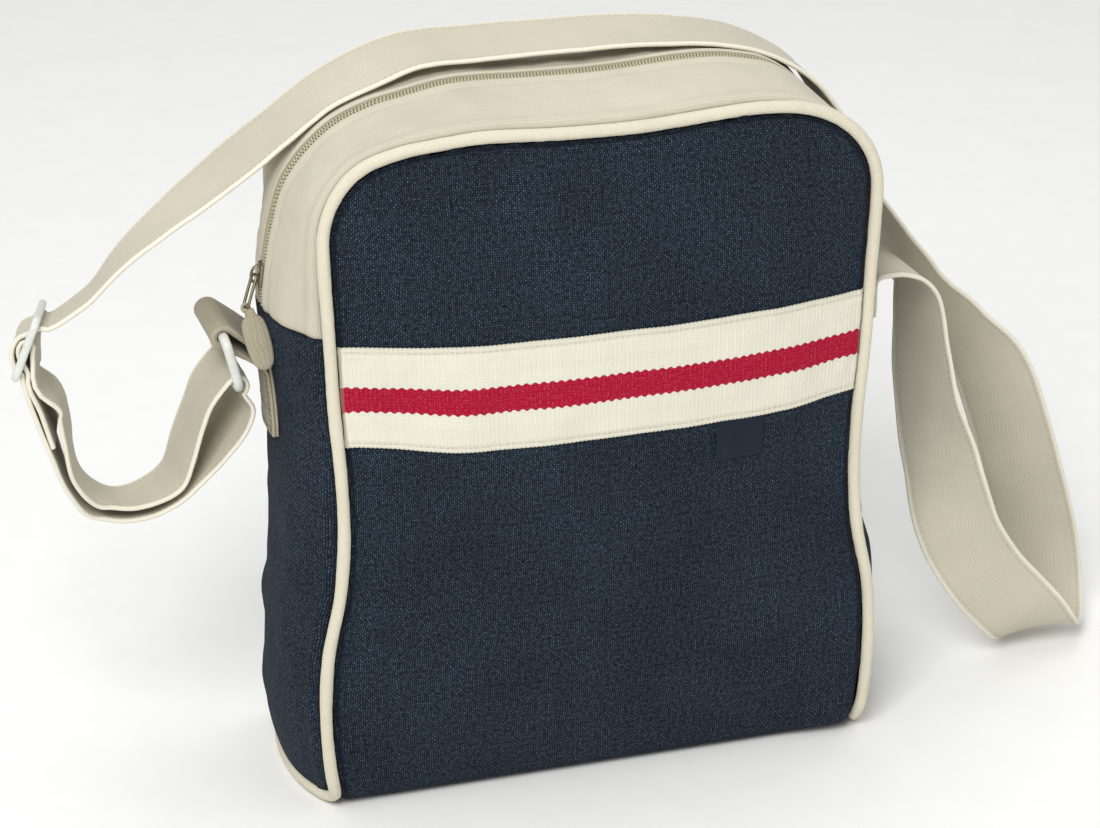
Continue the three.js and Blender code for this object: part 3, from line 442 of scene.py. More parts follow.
@dataclass(frozen=True)
class Stitching:
    """Row of thread stitches on a surface."""

    pitch: float = 3.0
    length: float = 2.3
    radius: float = 0.34
    seed: int = 5

    def along(self, path: Array, normal: Array) -> Array:
        """Vertices of the stitches: capsules laid at even steps, each turned and shifted a little by a seeded draw.

        Args:
            path: Points of the seam.
            normal: Direction out of the cloth at each point.

        Returns:
            Array (stitches, vertices, 3).
        """
        rng = np.random.default_rng(self.seed)
        places = lengths(path)
        count = max(int(places[-1] / self.pitch), 2)
        at = (np.arange(count) + 0.5) * places[-1] / count
        centre = np.stack([np.interp(at, places, path[:, i]) for i in range(3)], -1)
        out = unit(np.stack([np.interp(at, places, normal[:, i]) for i in range(3)], -1))
        tangent = path_tangents(path)
        way = unit(np.stack([np.interp(at, places, tangent[:, i]) for i in range(3)], -1))
        side = unit(np.cross(out, way))
        skew = rng.normal(0, 0.07, count)[:, None]
        way = unit(way + skew * side)
        side = np.cross(out, way)
        points = capsule(self.length, self.radius)[0]
        grow = rng.uniform(0.88, 1.12, count)[:, None, None]
        x, y, z = (points[None, :, i : i + 1] * grow for i in range(3))
        return centre[:, None] + x * way[:, None] + y * side[:, None] + 0.8 * z * out[:, None]

    def sew(self, name: str, rows: list[tuple[Array, Array]]) -> bpy.types.Object:
        """One piece holding the stitches of several seams, each a path and its normals."""
        placed = np.concatenate([self.along(path, normal) for path, normal in rows])
        return scatter(name, capsule(self.length, self.radius), placed)


@dataclass(frozen=True)
class Body:
    """Form of the bag, measured to the centre of its piping."""

    width: float = 250
    height: float = 316
    depth: float = 100
    top_radius: float = 42
    foot_radius: float = 12
    cloth: float = 1.6
    gap: float = 0.3
    piping_radius: float = 2.8
    seam_height: float = 231
    front_bulge: float = 13
    back_bulge: float = 9
    side_bulge: float = 18
    bulge_power: float = 2.4
    roll_height: float = 1.1
    roll_width: float = 2.4
    roll_inset: float = 5.5
    corner_lift: float = 0.6
    seam_inset: float = 4.9
    seam_bend: float = 1.6
    edge: float = 3.4
    waist: Curve = Curve((
        (0, 1.0), (0.06, 1.03), (0.158, 1.044), (0.253, 1.028), (0.342, 0.981), (0.43, 0.961), (0.525, 0.965),
        (0.627, 0.984), (0.744, 0.996), (0.854, 1.008), (1.1, 1.008),
    ))
    crest: Curve = Curve((
        (-1.1, 0.003), (-0.92, 0.004), (-0.74, -0.004), (-0.45, 0.003), (-0.17, -0.003), (0.12, -0.005), (0.41, 0.002),
        (0.56, 0.004), (0.8, -0.003), (1.1, 0),
    ))
    gusset_form: Curve = Curve((
        (0, 0.68), (0.03, 0.74), (0.06, 0.77), (0.1, 0.87), (0.14, 1.08), (0.18, 1.12), (0.205, 0.96), (0.23, 0.91),
        (0.274, 1.0), (0.305, 0.74), (0.333, 0.4), (0.363, 0.12), (0.402, 0.3), (0.44, 0.48), (0.5, 0.53), (0.56, 0.5),
        (0.6, 0.3), (0.637, -0.04), (0.676, 0.34), (0.726, 0.78), (0.8, 0.83), (0.88, 0.78), (0.95, 0.72), (1, 0.68),
    ))
    fullness: Curve = Curve((
        (0, 0), (0.045, 0), (0.15, 0.55), (0.3, 0.86), (0.5, 1.0), (0.7, 1.0), (0.85, 0.72), (0.95, 0.3), (0.99, 0),
        (1.1, 0),
    ))
    # Soft folds: centre x by half width, z by height, lie in degrees, long and short reach and height by half width
    folds: tuple[tuple[float, ...], ...] = (
        (0.66, 0.17, 38, 0.34, 0.07, -0.02),
        (0.5, 0.1, 30, 0.3, 0.08, 0.018),
        (-0.5, 0.33, 78, 0.4, 0.12, -0.014),
        (-0.1, 0.47, 4, 0.5, 0.08, -0.01),
        (0.25, 0.86, -8, 0.4, 0.1, -0.014),
        (-0.62, 0.84, 55, 0.3, 0.1, 0.012),
    )

    @property
    def half(self) -> float:
        """Half the width."""
        return self.width / 2

    @property
    def back(self) -> float:
        """Half the depth."""
        return self.depth / 2

    @property
    def straight(self) -> float:
        """Height of the straight sides."""
        return self.height - self.top_radius

    @property
    def quarter(self) -> float:
        """Length of one top corner."""
        return math.pi / 2 * self.top_radius

    @property
    def arch(self) -> float:
        """Length of the arch from foot to foot."""
        return 2 * self.straight + 2 * self.quarter + self.width - 2 * self.top_radius

    def settle(self, p: Array) -> Array:
        """In-plane set of the body: x scaled by the waist, z raised by the crest and at the foot's corners."""
        x, y, z = np.moveaxis(p, -1, 0)
        wide = x * self.waist.at(z / self.height)
        crest = self.height * self.crest.at(x / self.half) * smooth((z / self.height - 0.72) / 0.28)
        outer = np.maximum(0, (np.abs(x) / self.half - 0.62) / 0.38)
        low = np.maximum(0, 1 - z / 45)
        return stack(wide, y, z + crest + self.corner_lift * outer**2 * low**2)

    def station(self, s: Array) -> tuple[Array, Array, Array, Array]:
        """Place and outward direction on the arch at a distance from its left foot.

        Args:
            s: Distances in millimetres.

        Returns:
            x, z, and the x and z of the direction out of the bag.
        """
        right = s > self.arch / 2
        t = np.where(right, self.arch - s, s)
        side = np.where(right, 1.0, -1.0)
        angle = np.clip((t - self.straight) / self.top_radius, 0, np.pi / 2)
        over = np.maximum(t - self.straight - self.quarter, 0)
        x = self.half - self.top_radius * (1 - np.cos(angle)) - over
        z = np.minimum(t, self.straight) + self.top_radius * np.sin(angle)
        return side * x, z, side * np.cos(angle), np.sin(angle)

    def puff(self, y: Array) -> Array:
        """Share of the full bulge across the depth: 1 - t^power, t from the zip to the piping."""
        return 1 - np.minimum(np.abs(y) / (self.back - self.edge), 1) ** self.bulge_power

    def roll(self, y: Array) -> Array:
        """Height of the soft roll over the seam allowance: a bell curve beside the piping."""
        t = (np.abs(y) - (self.back - self.edge - self.roll_inset)) / self.roll_width
        return self.roll_height * np.exp(-t * t)

    def gusset(self, s: Array, y: Array, out: Array, rolled: Array | float = 1.0) -> Array:
        """Point of the gusset: the arch's station moved out by the bulge, the roll and `out`.

        Args:
            s: Distance along the arch.
            y: Depth.
            out: Extra distance out of the bag.
            rolled: Share of the seam's roll.

        Returns:
            Points after the body's set.
        """
        x, z, nx, nz = self.station(s)
        reach = out + self.side_bulge * self.gusset_form.at(s / self.arch) * self.puff(y) + rolled * self.roll(y)
        return self.settle(stack(x + nx * reach, y, z + nz * reach))

    def relief(self, u: Array, x: Array, z: Array, face: Face) -> Array:
        """Bulge of a large face, with the front's soft folds: each fold is a stretched bell curve.

        Args:
            u: Share of the half width.
            x: Place across, before the body's set.
            z: Height, before the body's set.
            face: Which face.

        Returns:
            Height out of the face in millimetres.
        """
        full = self.fullness.at(z / self.height)
        fade = 1 - np.abs(u) ** self.bulge_power
        if face is Face.BACK:
            return self.back_bulge * full * fade
        lift = self.front_bulge * full * fade
        for fx, fz, lie, long, short, rise in self.folds:
            a = math.radians(lie)
            dx, dz = x / self.half - fx, (z - fz * self.height) / self.half
            along = (dx * math.cos(a) + dz * math.sin(a)) / long
            across = (dz * math.cos(a) - dx * math.sin(a)) / short
            near = smooth((1 - np.abs(u)) * 6) * smooth(full * 2)
            lift = lift + self.half * rise * np.exp(-along * along - across * across) * near
        return lift

    def rows(self, heights: Array, inset: float) -> dict[str, Array]:
        """Rows of a large face from under the foot to its top edge.

        Args:
            heights: Heights of the rows between the foot's curl and the top corners.
            inset: Distance of the face's edge from the piping's centre.

        Returns:
            Each row's height z, half width, curl inwards, and outward direction (ny, nz).
        """
        foot = np.linspace(np.pi / 2, 0, 13)
        arc = np.linspace(0, np.pi / 2, 27)[1:]
        rest = np.zeros(len(heights) + len(arc))
        wide = self.half - inset
        radius = self.top_radius - inset
        return {
            "z": np.concatenate([
                self.cloth / 2 + self.foot_radius * (1 - np.sin(foot)), heights, self.straight + radius * np.sin(arc)
            ]),
            "half": np.concatenate([
                np.full(len(foot) + len(heights), wide), self.half - self.top_radius + radius * np.cos(arc)
            ]),
            "curl": np.concatenate([self.foot_radius * (1 - np.cos(foot)), rest]),
            "ny": np.concatenate([-np.cos(foot), rest - 1]),
            "nz": np.concatenate([-np.sin(foot), rest]),
        }

    def face(
        self, row: dict[str, Array], u: Array, out: Array | float, face: Face, rise: Array | float = 0.0
    ) -> tuple[Array, Array]:
        """Points of a large face over rows and shares across.

        Args:
            row: Rows from `rows`.
            u: Shares of the half width.
            out: Distance out of the cloth's middle.
            face: Which face.
            rise: How far each point is moved up the face.

        Returns:
            Grid of points after the body's set, and thread coordinates.
        """
        z, half, curl, ny, nz = (row[k][:, None] for k in ("z", "half", "curl", "ny", "nz"))
        x, z = half * u[None, :], z + rise
        pucker = np.exp(-self.border(x, z) / 9) * Ripple(11, 11, 0.5, stretch=1.0).at(x, z)
        crumple = Ripple(12 + face.value, 46, 0.75).at(x, z) + Ripple(15 + face.value, 19, 0.28).at(x, z)
        free = smooth(self.border(x, z) / 25) * smooth((z - 8) / 30)
        corner = smooth((x / self.half - 0.66) / 0.24) * smooth((z - 1) / 8) * smooth((46 - z) / 34)
        lift = out + self.relief(u[None, :], x, z, face) + pucker * smooth((z - 10) / 20) + crumple * free
        lift = lift + (2.2 * corner * smooth(self.border(x, z) / 2.5) if face is Face.FRONT else 0.0)
        y = -self.back + curl + ny * lift
        points = self.settle(stack(x, y * (1 if face is Face.FRONT else -1), z + nz * lift))
        arc = np.concatenate([[0], np.cumsum(np.hypot(np.diff(row["z"]), np.diff(row["curl"])))])
        return points, np.stack(np.broadcast_arrays(x, arc[:, None]), axis=-1)

    def border(self, x: Array, z: Array) -> Array:
        """Distance inside the arch's outline: to the sides, or to the top corners' circles."""
        r = self.top_radius
        cx = np.maximum(np.abs(x) - (self.half - r), 0)
        cz = np.maximum(z - self.straight, 0)
        return np.where(cz > 0, r - np.hypot(cx, cz), self.half - np.abs(x)) - self.seam_inset


class Graph:
    """Node tree of one material."""

    def __init__(self, name: str) -> None:
        """Starts an empty material with its shader and output."""
        self.material = bpy.data.materials.new(name)
        self.material.use_nodes = True
        self.nodes = self.material.node_tree.nodes
        self.links = self.material.node_tree.links
        self.nodes.clear()
        self.shader = self.add("ShaderNodeBsdfPrincipled")
        self.output = self.add("ShaderNodeOutputMaterial", {"Surface": self.shader})

    def add(self, kind: str, inputs: dict | None = None, **settings: object) -> bpy.types.Node:
        """Adds a node.

        Args:
            kind: Blender's name of the node's type.
            inputs: Value, socket or node (its first output) for inputs, by name or number.
            settings: The node's own properties.

        Returns:
            The node.
        """
        node = self.nodes.new(kind)
        for key, value in settings.items():
            setattr(node, key, value)
        for key, value in (inputs or {}).items():
            self.put(node, key, value)
        return node

    def put(self, node: bpy.types.Node, key: str | int, value: object) -> None:
        """Links a socket or node into an input, or sets the input to a value."""
        if isinstance(value, bpy.types.Node):
            value = value.outputs[0]
        if isinstance(value, bpy.types.NodeSocket):
            self.links.new(value, node.inputs[key])
        else:
            node.inputs[key].default_value = value


def linear(code: str) -> tuple[float, float, float, float]:
    """Linear colour from an sRGB hex value, by the sRGB curve."""
    parts = np.array([int(code[i : i + 2], 16) for i in (1, 3, 5)]) / 255
    light = np.where(parts <= 0.04045, parts / 12.92, ((parts + 0.055) / 1.055) ** 2.4)
    return (*light.tolist(), 1.0)


@dataclass(frozen=True)
class WovenCloth:
    """Plain woven cotton: threads over and under each other, uneven yarn, washed patches, painted shade and highlight.
    """

    name: str
    shade: str
    light: str
    # painted shade of the hollows between the threads
    hollow_shade: str
    pitch: float = 0.95
    fleck: float = 0.5
    patch: float = 0.25
    relief: float = 0.28
    rough: float = 0.92
    sheen: float = 0.12
    thread: float = 0.15
    slub: float = 0.11
    # Colours of the painted shade at seams, hems and grooves, and of the painted highlight on rolled edges
    painted_shade_colour: str = "#0c1016"
    rim: str = "#e8e3d3"
    bias: float = 0.0
    even: float = 0.0

    def weave(self, g: Graph) -> tuple[bpy.types.Node, bpy.types.Node, bpy.types.Node]:
        """Height of a plain weave and a tone for each thread.

        A warp thread is |sin x|, high where the weft is under it: times 0.6 + 0.4 sign(sin x) sin y. The weft is the
        same with x and y changed over and the sign reversed. The height is the larger of the two.

        Args:
            g: The material's tree.

        Returns:
            The height node, the tone node, and the node that is one where the warp is on top.
        """
        math_node = "ShaderNodeMath"
        uv = g.add("ShaderNodeUVMap", uv_map="cloth")
        drift = g.add("ShaderNodeTexNoise", {"Vector": uv, "Scale": 0.09, "Detail": 1.0}, noise_dimensions="2D")
        bent = g.add("ShaderNodeVectorMath", {0: drift.outputs[1], 1: (2.2, 2.2, 0)}, operation="MULTIPLY")
        place = g.add("ShaderNodeVectorMath", {0: uv, 1: bent}, operation="ADD")
        turned = g.add("ShaderNodeMapping", {"Vector": place, "Rotation": (0, 0, math.radians(self.bias))})
        scaled = g.add("ShaderNodeVectorMath", {0: turned, "Scale": 1 / self.pitch}, operation="SCALE")
        xy = g.add("ShaderNodeSeparateXYZ", {0: scaled})
        waves = [g.add(math_node, {0: xy.outputs[i], 1: math.pi}, operation="MULTIPLY") for i in (0, 1)]
        sines = [g.add(math_node, {0: w}, operation="SINE") for w in waves]
        threads = []
        for i, turn in ((0, 0.4), (1, -0.4)):
            own, other = sines[i], sines[1 - i]
            sign = g.add(math_node, {0: own}, operation="SIGN")
            over = g.add(math_node, {0: sign, 1: other}, operation="MULTIPLY")
            share = g.add(math_node, {0: over, 1: turn, 2: 0.6}, operation="MULTIPLY_ADD")
            round_ = g.add(math_node, {0: own}, operation="ABSOLUTE")
            threads.append(g.add(math_node, {0: round_, 1: share}, operation="MULTIPLY"))
        height = g.add(math_node, {0: threads[0], 1: threads[1]}, operation="MAXIMUM")
        cells = [g.add(math_node, {0: xy.outputs[i]}, operation="FLOOR") for i in (0, 1)]
        tones = [g.add("ShaderNodeTexWhiteNoise", {"W": c}, noise_dimensions="1D") for c in cells]
        warp_up = g.add(math_node, {0: threads[0], 1: threads[1]}, operation="GREATER_THAN")
        tone = g.add("ShaderNodeMix", {0: warp_up, 2: tones[1], 3: tones[0]})
        return height, tone, warp_up

    def tints(self, g: Graph) -> tuple[object, object]:
        """Colour of the yarn, and painted shade for the hollows between the threads."""
        return linear(self.shade), linear(self.hollow_shade)

    def make(self) -> bpy.types.Material:
        """Material: base shade, lighter flecks on raised yarn, slubs, washed patches, painted shade and highlight."""
        g = Graph(self.name)
        math_node = "ShaderNodeMath"
        height, tone, warp_up = self.weave(g)
        shade, hollow_shade = self.tints(g)
        uv = g.add("ShaderNodeUVMap", uv_map="cloth")
        speck = g.add("ShaderNodeTexNoise", {"Vector": uv, "Scale": 0.62, "Detail": 3.0}, noise_dimensions="2D")
        speck_cut = g.add(
            "ShaderNodeMapRange", {0: speck, 1: 0.42 - self.even, 2: 0.72 + 0.4 * self.even},
            interpolation_type="SMOOTHSTEP",
        )
        crown = g.add("ShaderNodeMapRange", {0: height, 1: 0.45, 2: 0.95}, interpolation_type="SMOOTHSTEP")
        warp = g.add(math_node, {0: warp_up, 1: 0.55, 2: 0.45}, operation="MULTIPLY_ADD")
        raised = g.add(math_node, {0: speck_cut, 1: crown}, operation="MULTIPLY")
        raised = g.add(math_node, {0: raised, 1: warp}, operation="MULTIPLY")
        long = g.add("ShaderNodeMapping", {"Vector": uv, "Scale": (0.9, 0.12, 1)})
        slub = g.add("ShaderNodeTexNoise", {"Vector": long, "Scale": 1.0, "Detail": 2.0}, noise_dimensions="2D")
        wash = g.add("ShaderNodeTexNoise", {"Vector": uv, "Scale": 0.02, "Detail": 4.0}, noise_dimensions="2D")
        fleck = g.add(math_node, {0: raised, 1: self.fleck}, operation="MULTIPLY")
        lit = g.add("ShaderNodeMix", {0: fleck, 6: shade, 7: linear(self.light)}, data_type="RGBA")
        # Painted shade: low parts of the weave are mixed towards the hollow colour.
        valley = g.add("ShaderNodeMapRange", {0: height, 1: 0.05, 2: 0.6, 3: 0.62, 4: 0.0})
        shaded = g.add("ShaderNodeMix", {0: valley, 6: lit.outputs[2], 7: hollow_shade}, data_type="RGBA")
        thread = g.add("ShaderNodeMapRange", {0: tone, 3: 1 - self.thread, 4: 1 + self.thread})
        yarn = g.add("ShaderNodeMapRange", {0: slub, 1: 0.3, 2: 0.7, 3: 1 - self.slub, 4: 1 + self.slub})
        washed = g.add("ShaderNodeMapRange", {0: wash, 1: 0.3, 2: 0.7, 3: 1 - self.patch, 4: 1 + self.patch})
        level = g.add(math_node, {0: thread, 1: yarn}, operation="MULTIPLY")
        level = g.add(math_node, {0: level, 1: washed}, operation="MULTIPLY")
        toned = g.add("ShaderNodeVectorMath", {0: shaded.outputs[2], "Scale": level}, operation="SCALE")
        # Painted shade where the attribute is above zero, painted highlight on rolled edges where it is below.
        painted_shading_attr = g.add("ShaderNodeAttribute", attribute_name="painted_shading_attr")
        painted_shade_share = g.add(math_node, {0: painted_shading_attr.outputs["Fac"], 1: 0.8}, operation="MULTIPLY")
        painted_highlight_share = g.add(math_node, {0: painted_shading_attr.outputs["Fac"], 1: -1.0}, operation="MULTIPLY", use_clamp=True)
        pale = g.add("ShaderNodeMix", {0: painted_highlight_share, 6: toned, 7: linear(self.rim)}, data_type="RGBA")
        colour = g.add("ShaderNodeMix", {0: painted_shade_share, 6: pale.outputs[2], 7: linear(self.painted_shade_colour)}, data_type="RGBA")
        bump = g.add("ShaderNodeBump", {"Height": height, "Distance": self.relief * MM, "Strength": 1.0})
        g.put(g.shader, "Base Color", colour.outputs[2])
        g.put(g.shader, "Normal", bump)
        g.put(g.shader, "Roughness", self.rough)
        g.put(g.shader, "Sheen Weight", self.sheen)
        g.put(g.shader, "Sheen Roughness", 0.5)
        g.put(g.shader, "Specular IOR Level", 0.12)
        return g.material


@dataclass(frozen=True)
class BandWebbing(WovenCloth):
    """Striped webbing: ribbed cream edges, and a red centre whose borders are scalloped by the weave."""

    red: str = "#a60a2e"
    # painted shade for the hollows of the red stripe
    red_hollow_shade: str = "#630921"
    spot: str = "#c46a78"
    low: float = 18.2
    high: float = 30.4
    scallop: float = 3.9
    rib: float = 1.95
    dots: float = 1.6

    def tints(self, g: Graph) -> tuple[object, object]:
        """Yarn colour and painted hollow shade: red between two borders that move by a cosine, with pale dots in it.

        A dot is where cos(2 pi x / rib) and cos(2 pi z / dots) are both near one.

        Args:
            g: The material's tree.

        Returns:
            The two colours' sockets.
        """
        math_node = "ShaderNodeMath"
        uv = g.add("ShaderNodeUVMap", uv_map="cloth")
        xy = g.add("ShaderNodeSeparateXYZ", {0: uv})

        def wave(socket: object, length: float) -> bpy.types.Node:
            """Cosine of a coordinate."""
            angle = g.add(math_node, {0: socket, 1: 2 * math.pi / length}, operation="MULTIPLY")
            return g.add(math_node, {0: angle}, operation="COSINE")

        border = g.add(math_node, {0: wave(xy.outputs[0], self.scallop), 1: 0.42}, operation="MULTIPLY")
        above = g.add(math_node, {0: xy.outputs[1], 1: border}, operation="SUBTRACT")
        below = g.add(math_node, {0: xy.outputs[1], 1: border}, operation="ADD")
        start = g.add("ShaderNodeMapRange", {0: above, 1: self.low - 0.18, 2: self.low + 0.18})
        stop = g.add("ShaderNodeMapRange", {0: below, 1: self.high - 0.18, 2: self.high + 0.18, 3: 1.0, 4: 0.0})
        red = g.add(math_node, {0: start, 1: stop}, operation="MULTIPLY")
        columns = g.add("ShaderNodeMapRange", {0: wave(xy.outputs[0], self.rib), 1: 0.35, 2: 0.95})
        rows = g.add("ShaderNodeMapRange", {0: wave(xy.outputs[1], self.dots), 1: 0.1, 2: 0.9})
        dot = g.add(math_node, {0: columns, 1: rows}, operation="MULTIPLY")
        dot = g.add(math_node, {0: dot, 1: 0.16}, operation="MULTIPLY")
        dyed = g.add("ShaderNodeMix", {0: dot, 6: linear(self.red), 7: linear(self.spot)}, data_type="RGBA")
        shade = g.add("ShaderNodeMix", {0: red, 6: linear(self.shade), 7: dyed.outputs[2]}, data_type="RGBA")
        # Painted shade of the hollows, redder inside the stripe.
        hollow_shade = g.add("ShaderNodeMix", {0: red, 6: linear(self.hollow_shade), 7: linear(self.red_hollow_shade)}, data_type="RGBA")
        return shade.outputs[2], hollow_shade.outputs[2]


@dataclass(frozen=True)
class Plain:
    """A smooth moulded or metal finish with small unevenness."""

    name: str
    shade: str
    rough: float
    metallic: float = 0.0
    grain: float = 400.0
    bump: float = 0.02
    mottle: float = 0.06

    def make(self) -> bpy.types.Material:
        """Material: one shade with fine mottling, and roughness and bump from the same noise."""
        g = Graph(self.name)
        place = g.add("ShaderNodeTexCoord")
        noise = g.add("ShaderNodeTexNoise", {"Vector": place.outputs["Object"], "Scale": self.grain, "Detail": 4.0})
        level = g.add("ShaderNodeMapRange", {0: noise, 1: 0.3, 2: 0.7, 3: 1 - self.mottle, 4: 1 + self.mottle})
        colour = g.add("ShaderNodeVectorMath", {0: linear(self.shade)[:3], "Scale": level}, operation="SCALE")
        rough = g.add("ShaderNodeMapRange", {0: noise, 3: self.rough - 0.05, 4: self.rough + 0.08})
        bump = g.add("ShaderNodeBump", {"Height": noise, "Distance": self.bump * MM, "Strength": 1.0})
        g.put(g.shader, "Base Color", colour)
        g.put(g.shader, "Roughness", rough)
        g.put(g.shader, "Metallic", self.metallic)
        g.put(g.shader, "Normal", bump)
        return g.material


def finish(piece: bpy.types.Object, material: bpy.types.Material, slot: Slot, *nodes: str) -> bpy.types.Object:
    """Dresses a piece, ties it to the body and hides the CAD nodes it stands for.

    Args:
        piece: The piece.
        material: Its material.
        slot: The record's slot; not used.
        nodes: CAD nodes that it replaces.

    Returns:
        The piece.
    """
    piece.data.materials.clear()
    piece.data.materials.append(material)
    outwards(piece)
    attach(piece, "root")
    if nodes:
        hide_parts(*nodes)
    log.info("%s: %d faces", piece.name, len(piece.data.polygons))
    return piece


@dataclass
class Shell:
    """Navy panels and cream gusset of the bag."""

    body: Body
    navy: bpy.types.Material
    cream: bpy.types.Material
    row_step: float = 2.0
    columns: int = 125
    zip_opening: float = 8.8
    label: tuple[float, float, float, float] = (50, 23, 19, 0.7)
    band_foot: float = 176.5
    band_height: float = 50
    band: float = 1.2

    def heights(self) -> Array:
        """Row heights between the foot's curl and the top corners."""
        b = self.body
        low = b.cloth / 2 + b.foot_radius
        return np.linspace(low, b.straight, round((b.straight - low) / self.row_step) + 1)[1:]

    def face(self, which: Face) -> bpy.types.Object:
        """One large face: rows across the arch, hemmed in along its sides and top."""
        b = self.body
        rows = b.rows(self.heights(), b.seam_inset)
        u = np.linspace(-1, 1, self.columns)
        points, uv = b.face(rows, u, 0.0, which)
        z = rows["z"][:, None]
        x = rows["half"][:, None] * u
        # Painted shade along the hemmed border and along the curl under the foot.
        painted_shading_map = smooth(1 - b.border(x, z) / 1.2) + 0.5 * smooth(1 - np.abs(z - 5.5) / 1.5)
        outward = np.array([0, float(which.value), 0])
        sheet = Cloth.grid(points, uv, outward, np.clip(painted_shading_map, 0, 1))
        index = np.arange(points.shape[0] * points.shape[1]).reshape(points.shape[:2])
        border = np.concatenate([index[:, 0], index[-1, 1:-1], index[::-1, -1]])
        sheet = sheet.hem(border, b.seam_bend, 0.4)
        name = f"{which.name.lower()}_panel_cloth"
        return finish(sheet.make(name, b.cloth), self.navy, Slot.NAVY, f"{which.name.lower()}_panel")

    def base(self) -> bpy.types.Object:
        """Base between the curled feet of the two faces."""
        b = self.body
        y = np.linspace(-1, 1, 41) * (b.back - b.foot_radius - b.gap)
        u = np.linspace(-1, 1, 101)
        bow = b.side_bulge * b.gusset_form.at(np.zeros(1)) * b.puff(y)[:, None] * np.abs(u) ** 3 * np.sign(u)
        x = (b.half - b.edge) * u + bow
        points = b.settle(stack(x, y[:, None], np.full_like(x, b.cloth / 2)))
        sheet = Cloth.grid(points, np.stack(np.broadcast_arrays(x, y[:, None]), -1), np.array([0, 0, -1.0]), 0.0)
        return finish(sheet.make("base_cloth", b.cloth), self.navy, Slot.NAVY, "bottom_panel")

    def side(self, which: Side) -> bpy.types.Object:
        """One side panel from the foot to the seam under the gusset, hemmed in along its long edges."""
        b = self.body
        foot = b.piping_radius + b.gap + b.edge
        corner = b.foot_radius - b.edge
        rise = np.linspace(np.pi / 2, 0, 9)
        z = np.concatenate([
            foot + corner * (1 - np.sin(rise)), np.linspace(foot + corner, b.seam_height - b.gap / 2, 105)[1:]
        ])
        up = np.clip(foot + corner - z, 0, corner)
        half = b.back - b.seam_inset - corner + np.sqrt(np.maximum(corner**2 - up**2, 0))
        across = np.linspace(-1, 1, 61)
        y = half[:, None] * across
        s = (z if which is Side.LEFT else b.arch - z)[:, None]
        low = smooth((z - foot) / corner)[:, None]
        crumple = Ripple(31 + which.value, 34, 0.8).at(y, z[:, None])
        crumple = crumple + Ripple(34 + which.value, 15, 0.3).at(y, z[:, None])
        free = smooth((half[:, None] - np.abs(y)) / 14) * smooth((z[:, None] - 12) / 25)
        seam = -0.9 * np.exp(-(((b.seam_height - z[:, None]) / 1.6) ** 2))
        if which is Side.LEFT:
            crumple = crumple - 2.6 * np.exp(-(((z[:, None] - 78 + 0.5 * y) / 17) ** 2) - ((y - 8) / 26) ** 2)
        points = b.gusset(s, y, crumple * free + seam, low)
        # Painted shade along both hemmed edges and under the seam at the gusset.
        painted_shading_map = smooth(1 - (half[:, None] - np.abs(y)) / 1.2) + smooth(1 - (b.seam_height - z[:, None]) / 0.8)
        uv = np.stack(np.broadcast_arrays(y, z[:, None]), -1)
        sheet = Cloth.grid(points, uv, np.array([float(which.value), 0, 0]), painted_shading_map)
        index = np.arange(points.shape[0] * points.shape[1]).reshape(points.shape[:2])
        for edge in (index[:, 0], index[:, -1]):
            sheet = sheet.hem(edge, b.seam_bend, 0.4)
        side = which.name.lower()
        return finish(sheet.make(f"side_cloth_{side}", b.cloth), self.navy, Slot.NAVY, f"side_panel_{side}")

    def gusset(self, which: Face) -> bpy.types.Object:
        """One cream strip of the zip gusset: from the lip at the zip to the seam at the piping."""
        b = self.body
        s = np.linspace(b.seam_height + b.gap / 2, b.arch - b.seam_height - b.gap / 2, 231)[:, None]
        inner, outer = self.zip_opening / 2, b.back - b.seam_inset
        share = np.sin(np.linspace(-np.pi / 2, np.pi / 2, 40)) * 0.5 + 0.5
        y = (inner + (outer - inner) * share) * which.value
        crumple = Ripple(41 + which.value, 30, 0.5).at(s, y) + Ripple(44 + which.value, 12, 0.22).at(s, y)
        free = smooth((np.abs(y) - inner) / 12) * smooth((outer - np.abs(y)) / 12)
        lip = 0.7 * np.exp(-(((np.abs(y) - inner - 1.6) / 2.0) ** 2))
        lip = lip - 0.5 * np.exp(-(((np.abs(y) - inner - 5.6) / 0.8) ** 2))
        ends = np.minimum(s - s[0], s[-1] - s)
        seam = -0.9 * np.exp(-((ends / 1.6) ** 2))
        groove = np.exp(-(((outer - np.abs(y) - 1.1) / 0.7) ** 2))
        points = b.gusset(s, y, crumple * free + lip + seam - 0.45 * groove)
        # Painted shade beside the piping, at the seams at both ends, and in the groove.
        painted_shading_map = 0.8 * smooth(1 - (outer - np.abs(y)) / 0.9) + 0.5 * smooth(1 - ends / 0.8) + 0.3 * groove
        uv = np.stack(np.broadcast_arrays(y, s), -1)
        x, z, nx, nz = b.station(s)
        sheet = Cloth.grid(points, uv, stack(nx, np.zeros_like(nx), nz) + 0 * points, np.clip(painted_shading_map, 0, 1) + 0 * s)
        index = np.arange(points.shape[0] * points.shape[1]).reshape(points.shape[:2])
        sheet = sheet.hem(index[:, -1], b.seam_bend, 0.4)
        sheet = sheet.hem(index[:, 0], 0.9, 0.3)
        side = which.name.lower()
        return finish(sheet.make(f"gusset_cloth_{side}", b.cloth), self.cream, Slot.CREAM, f"top_gusset_{side}")

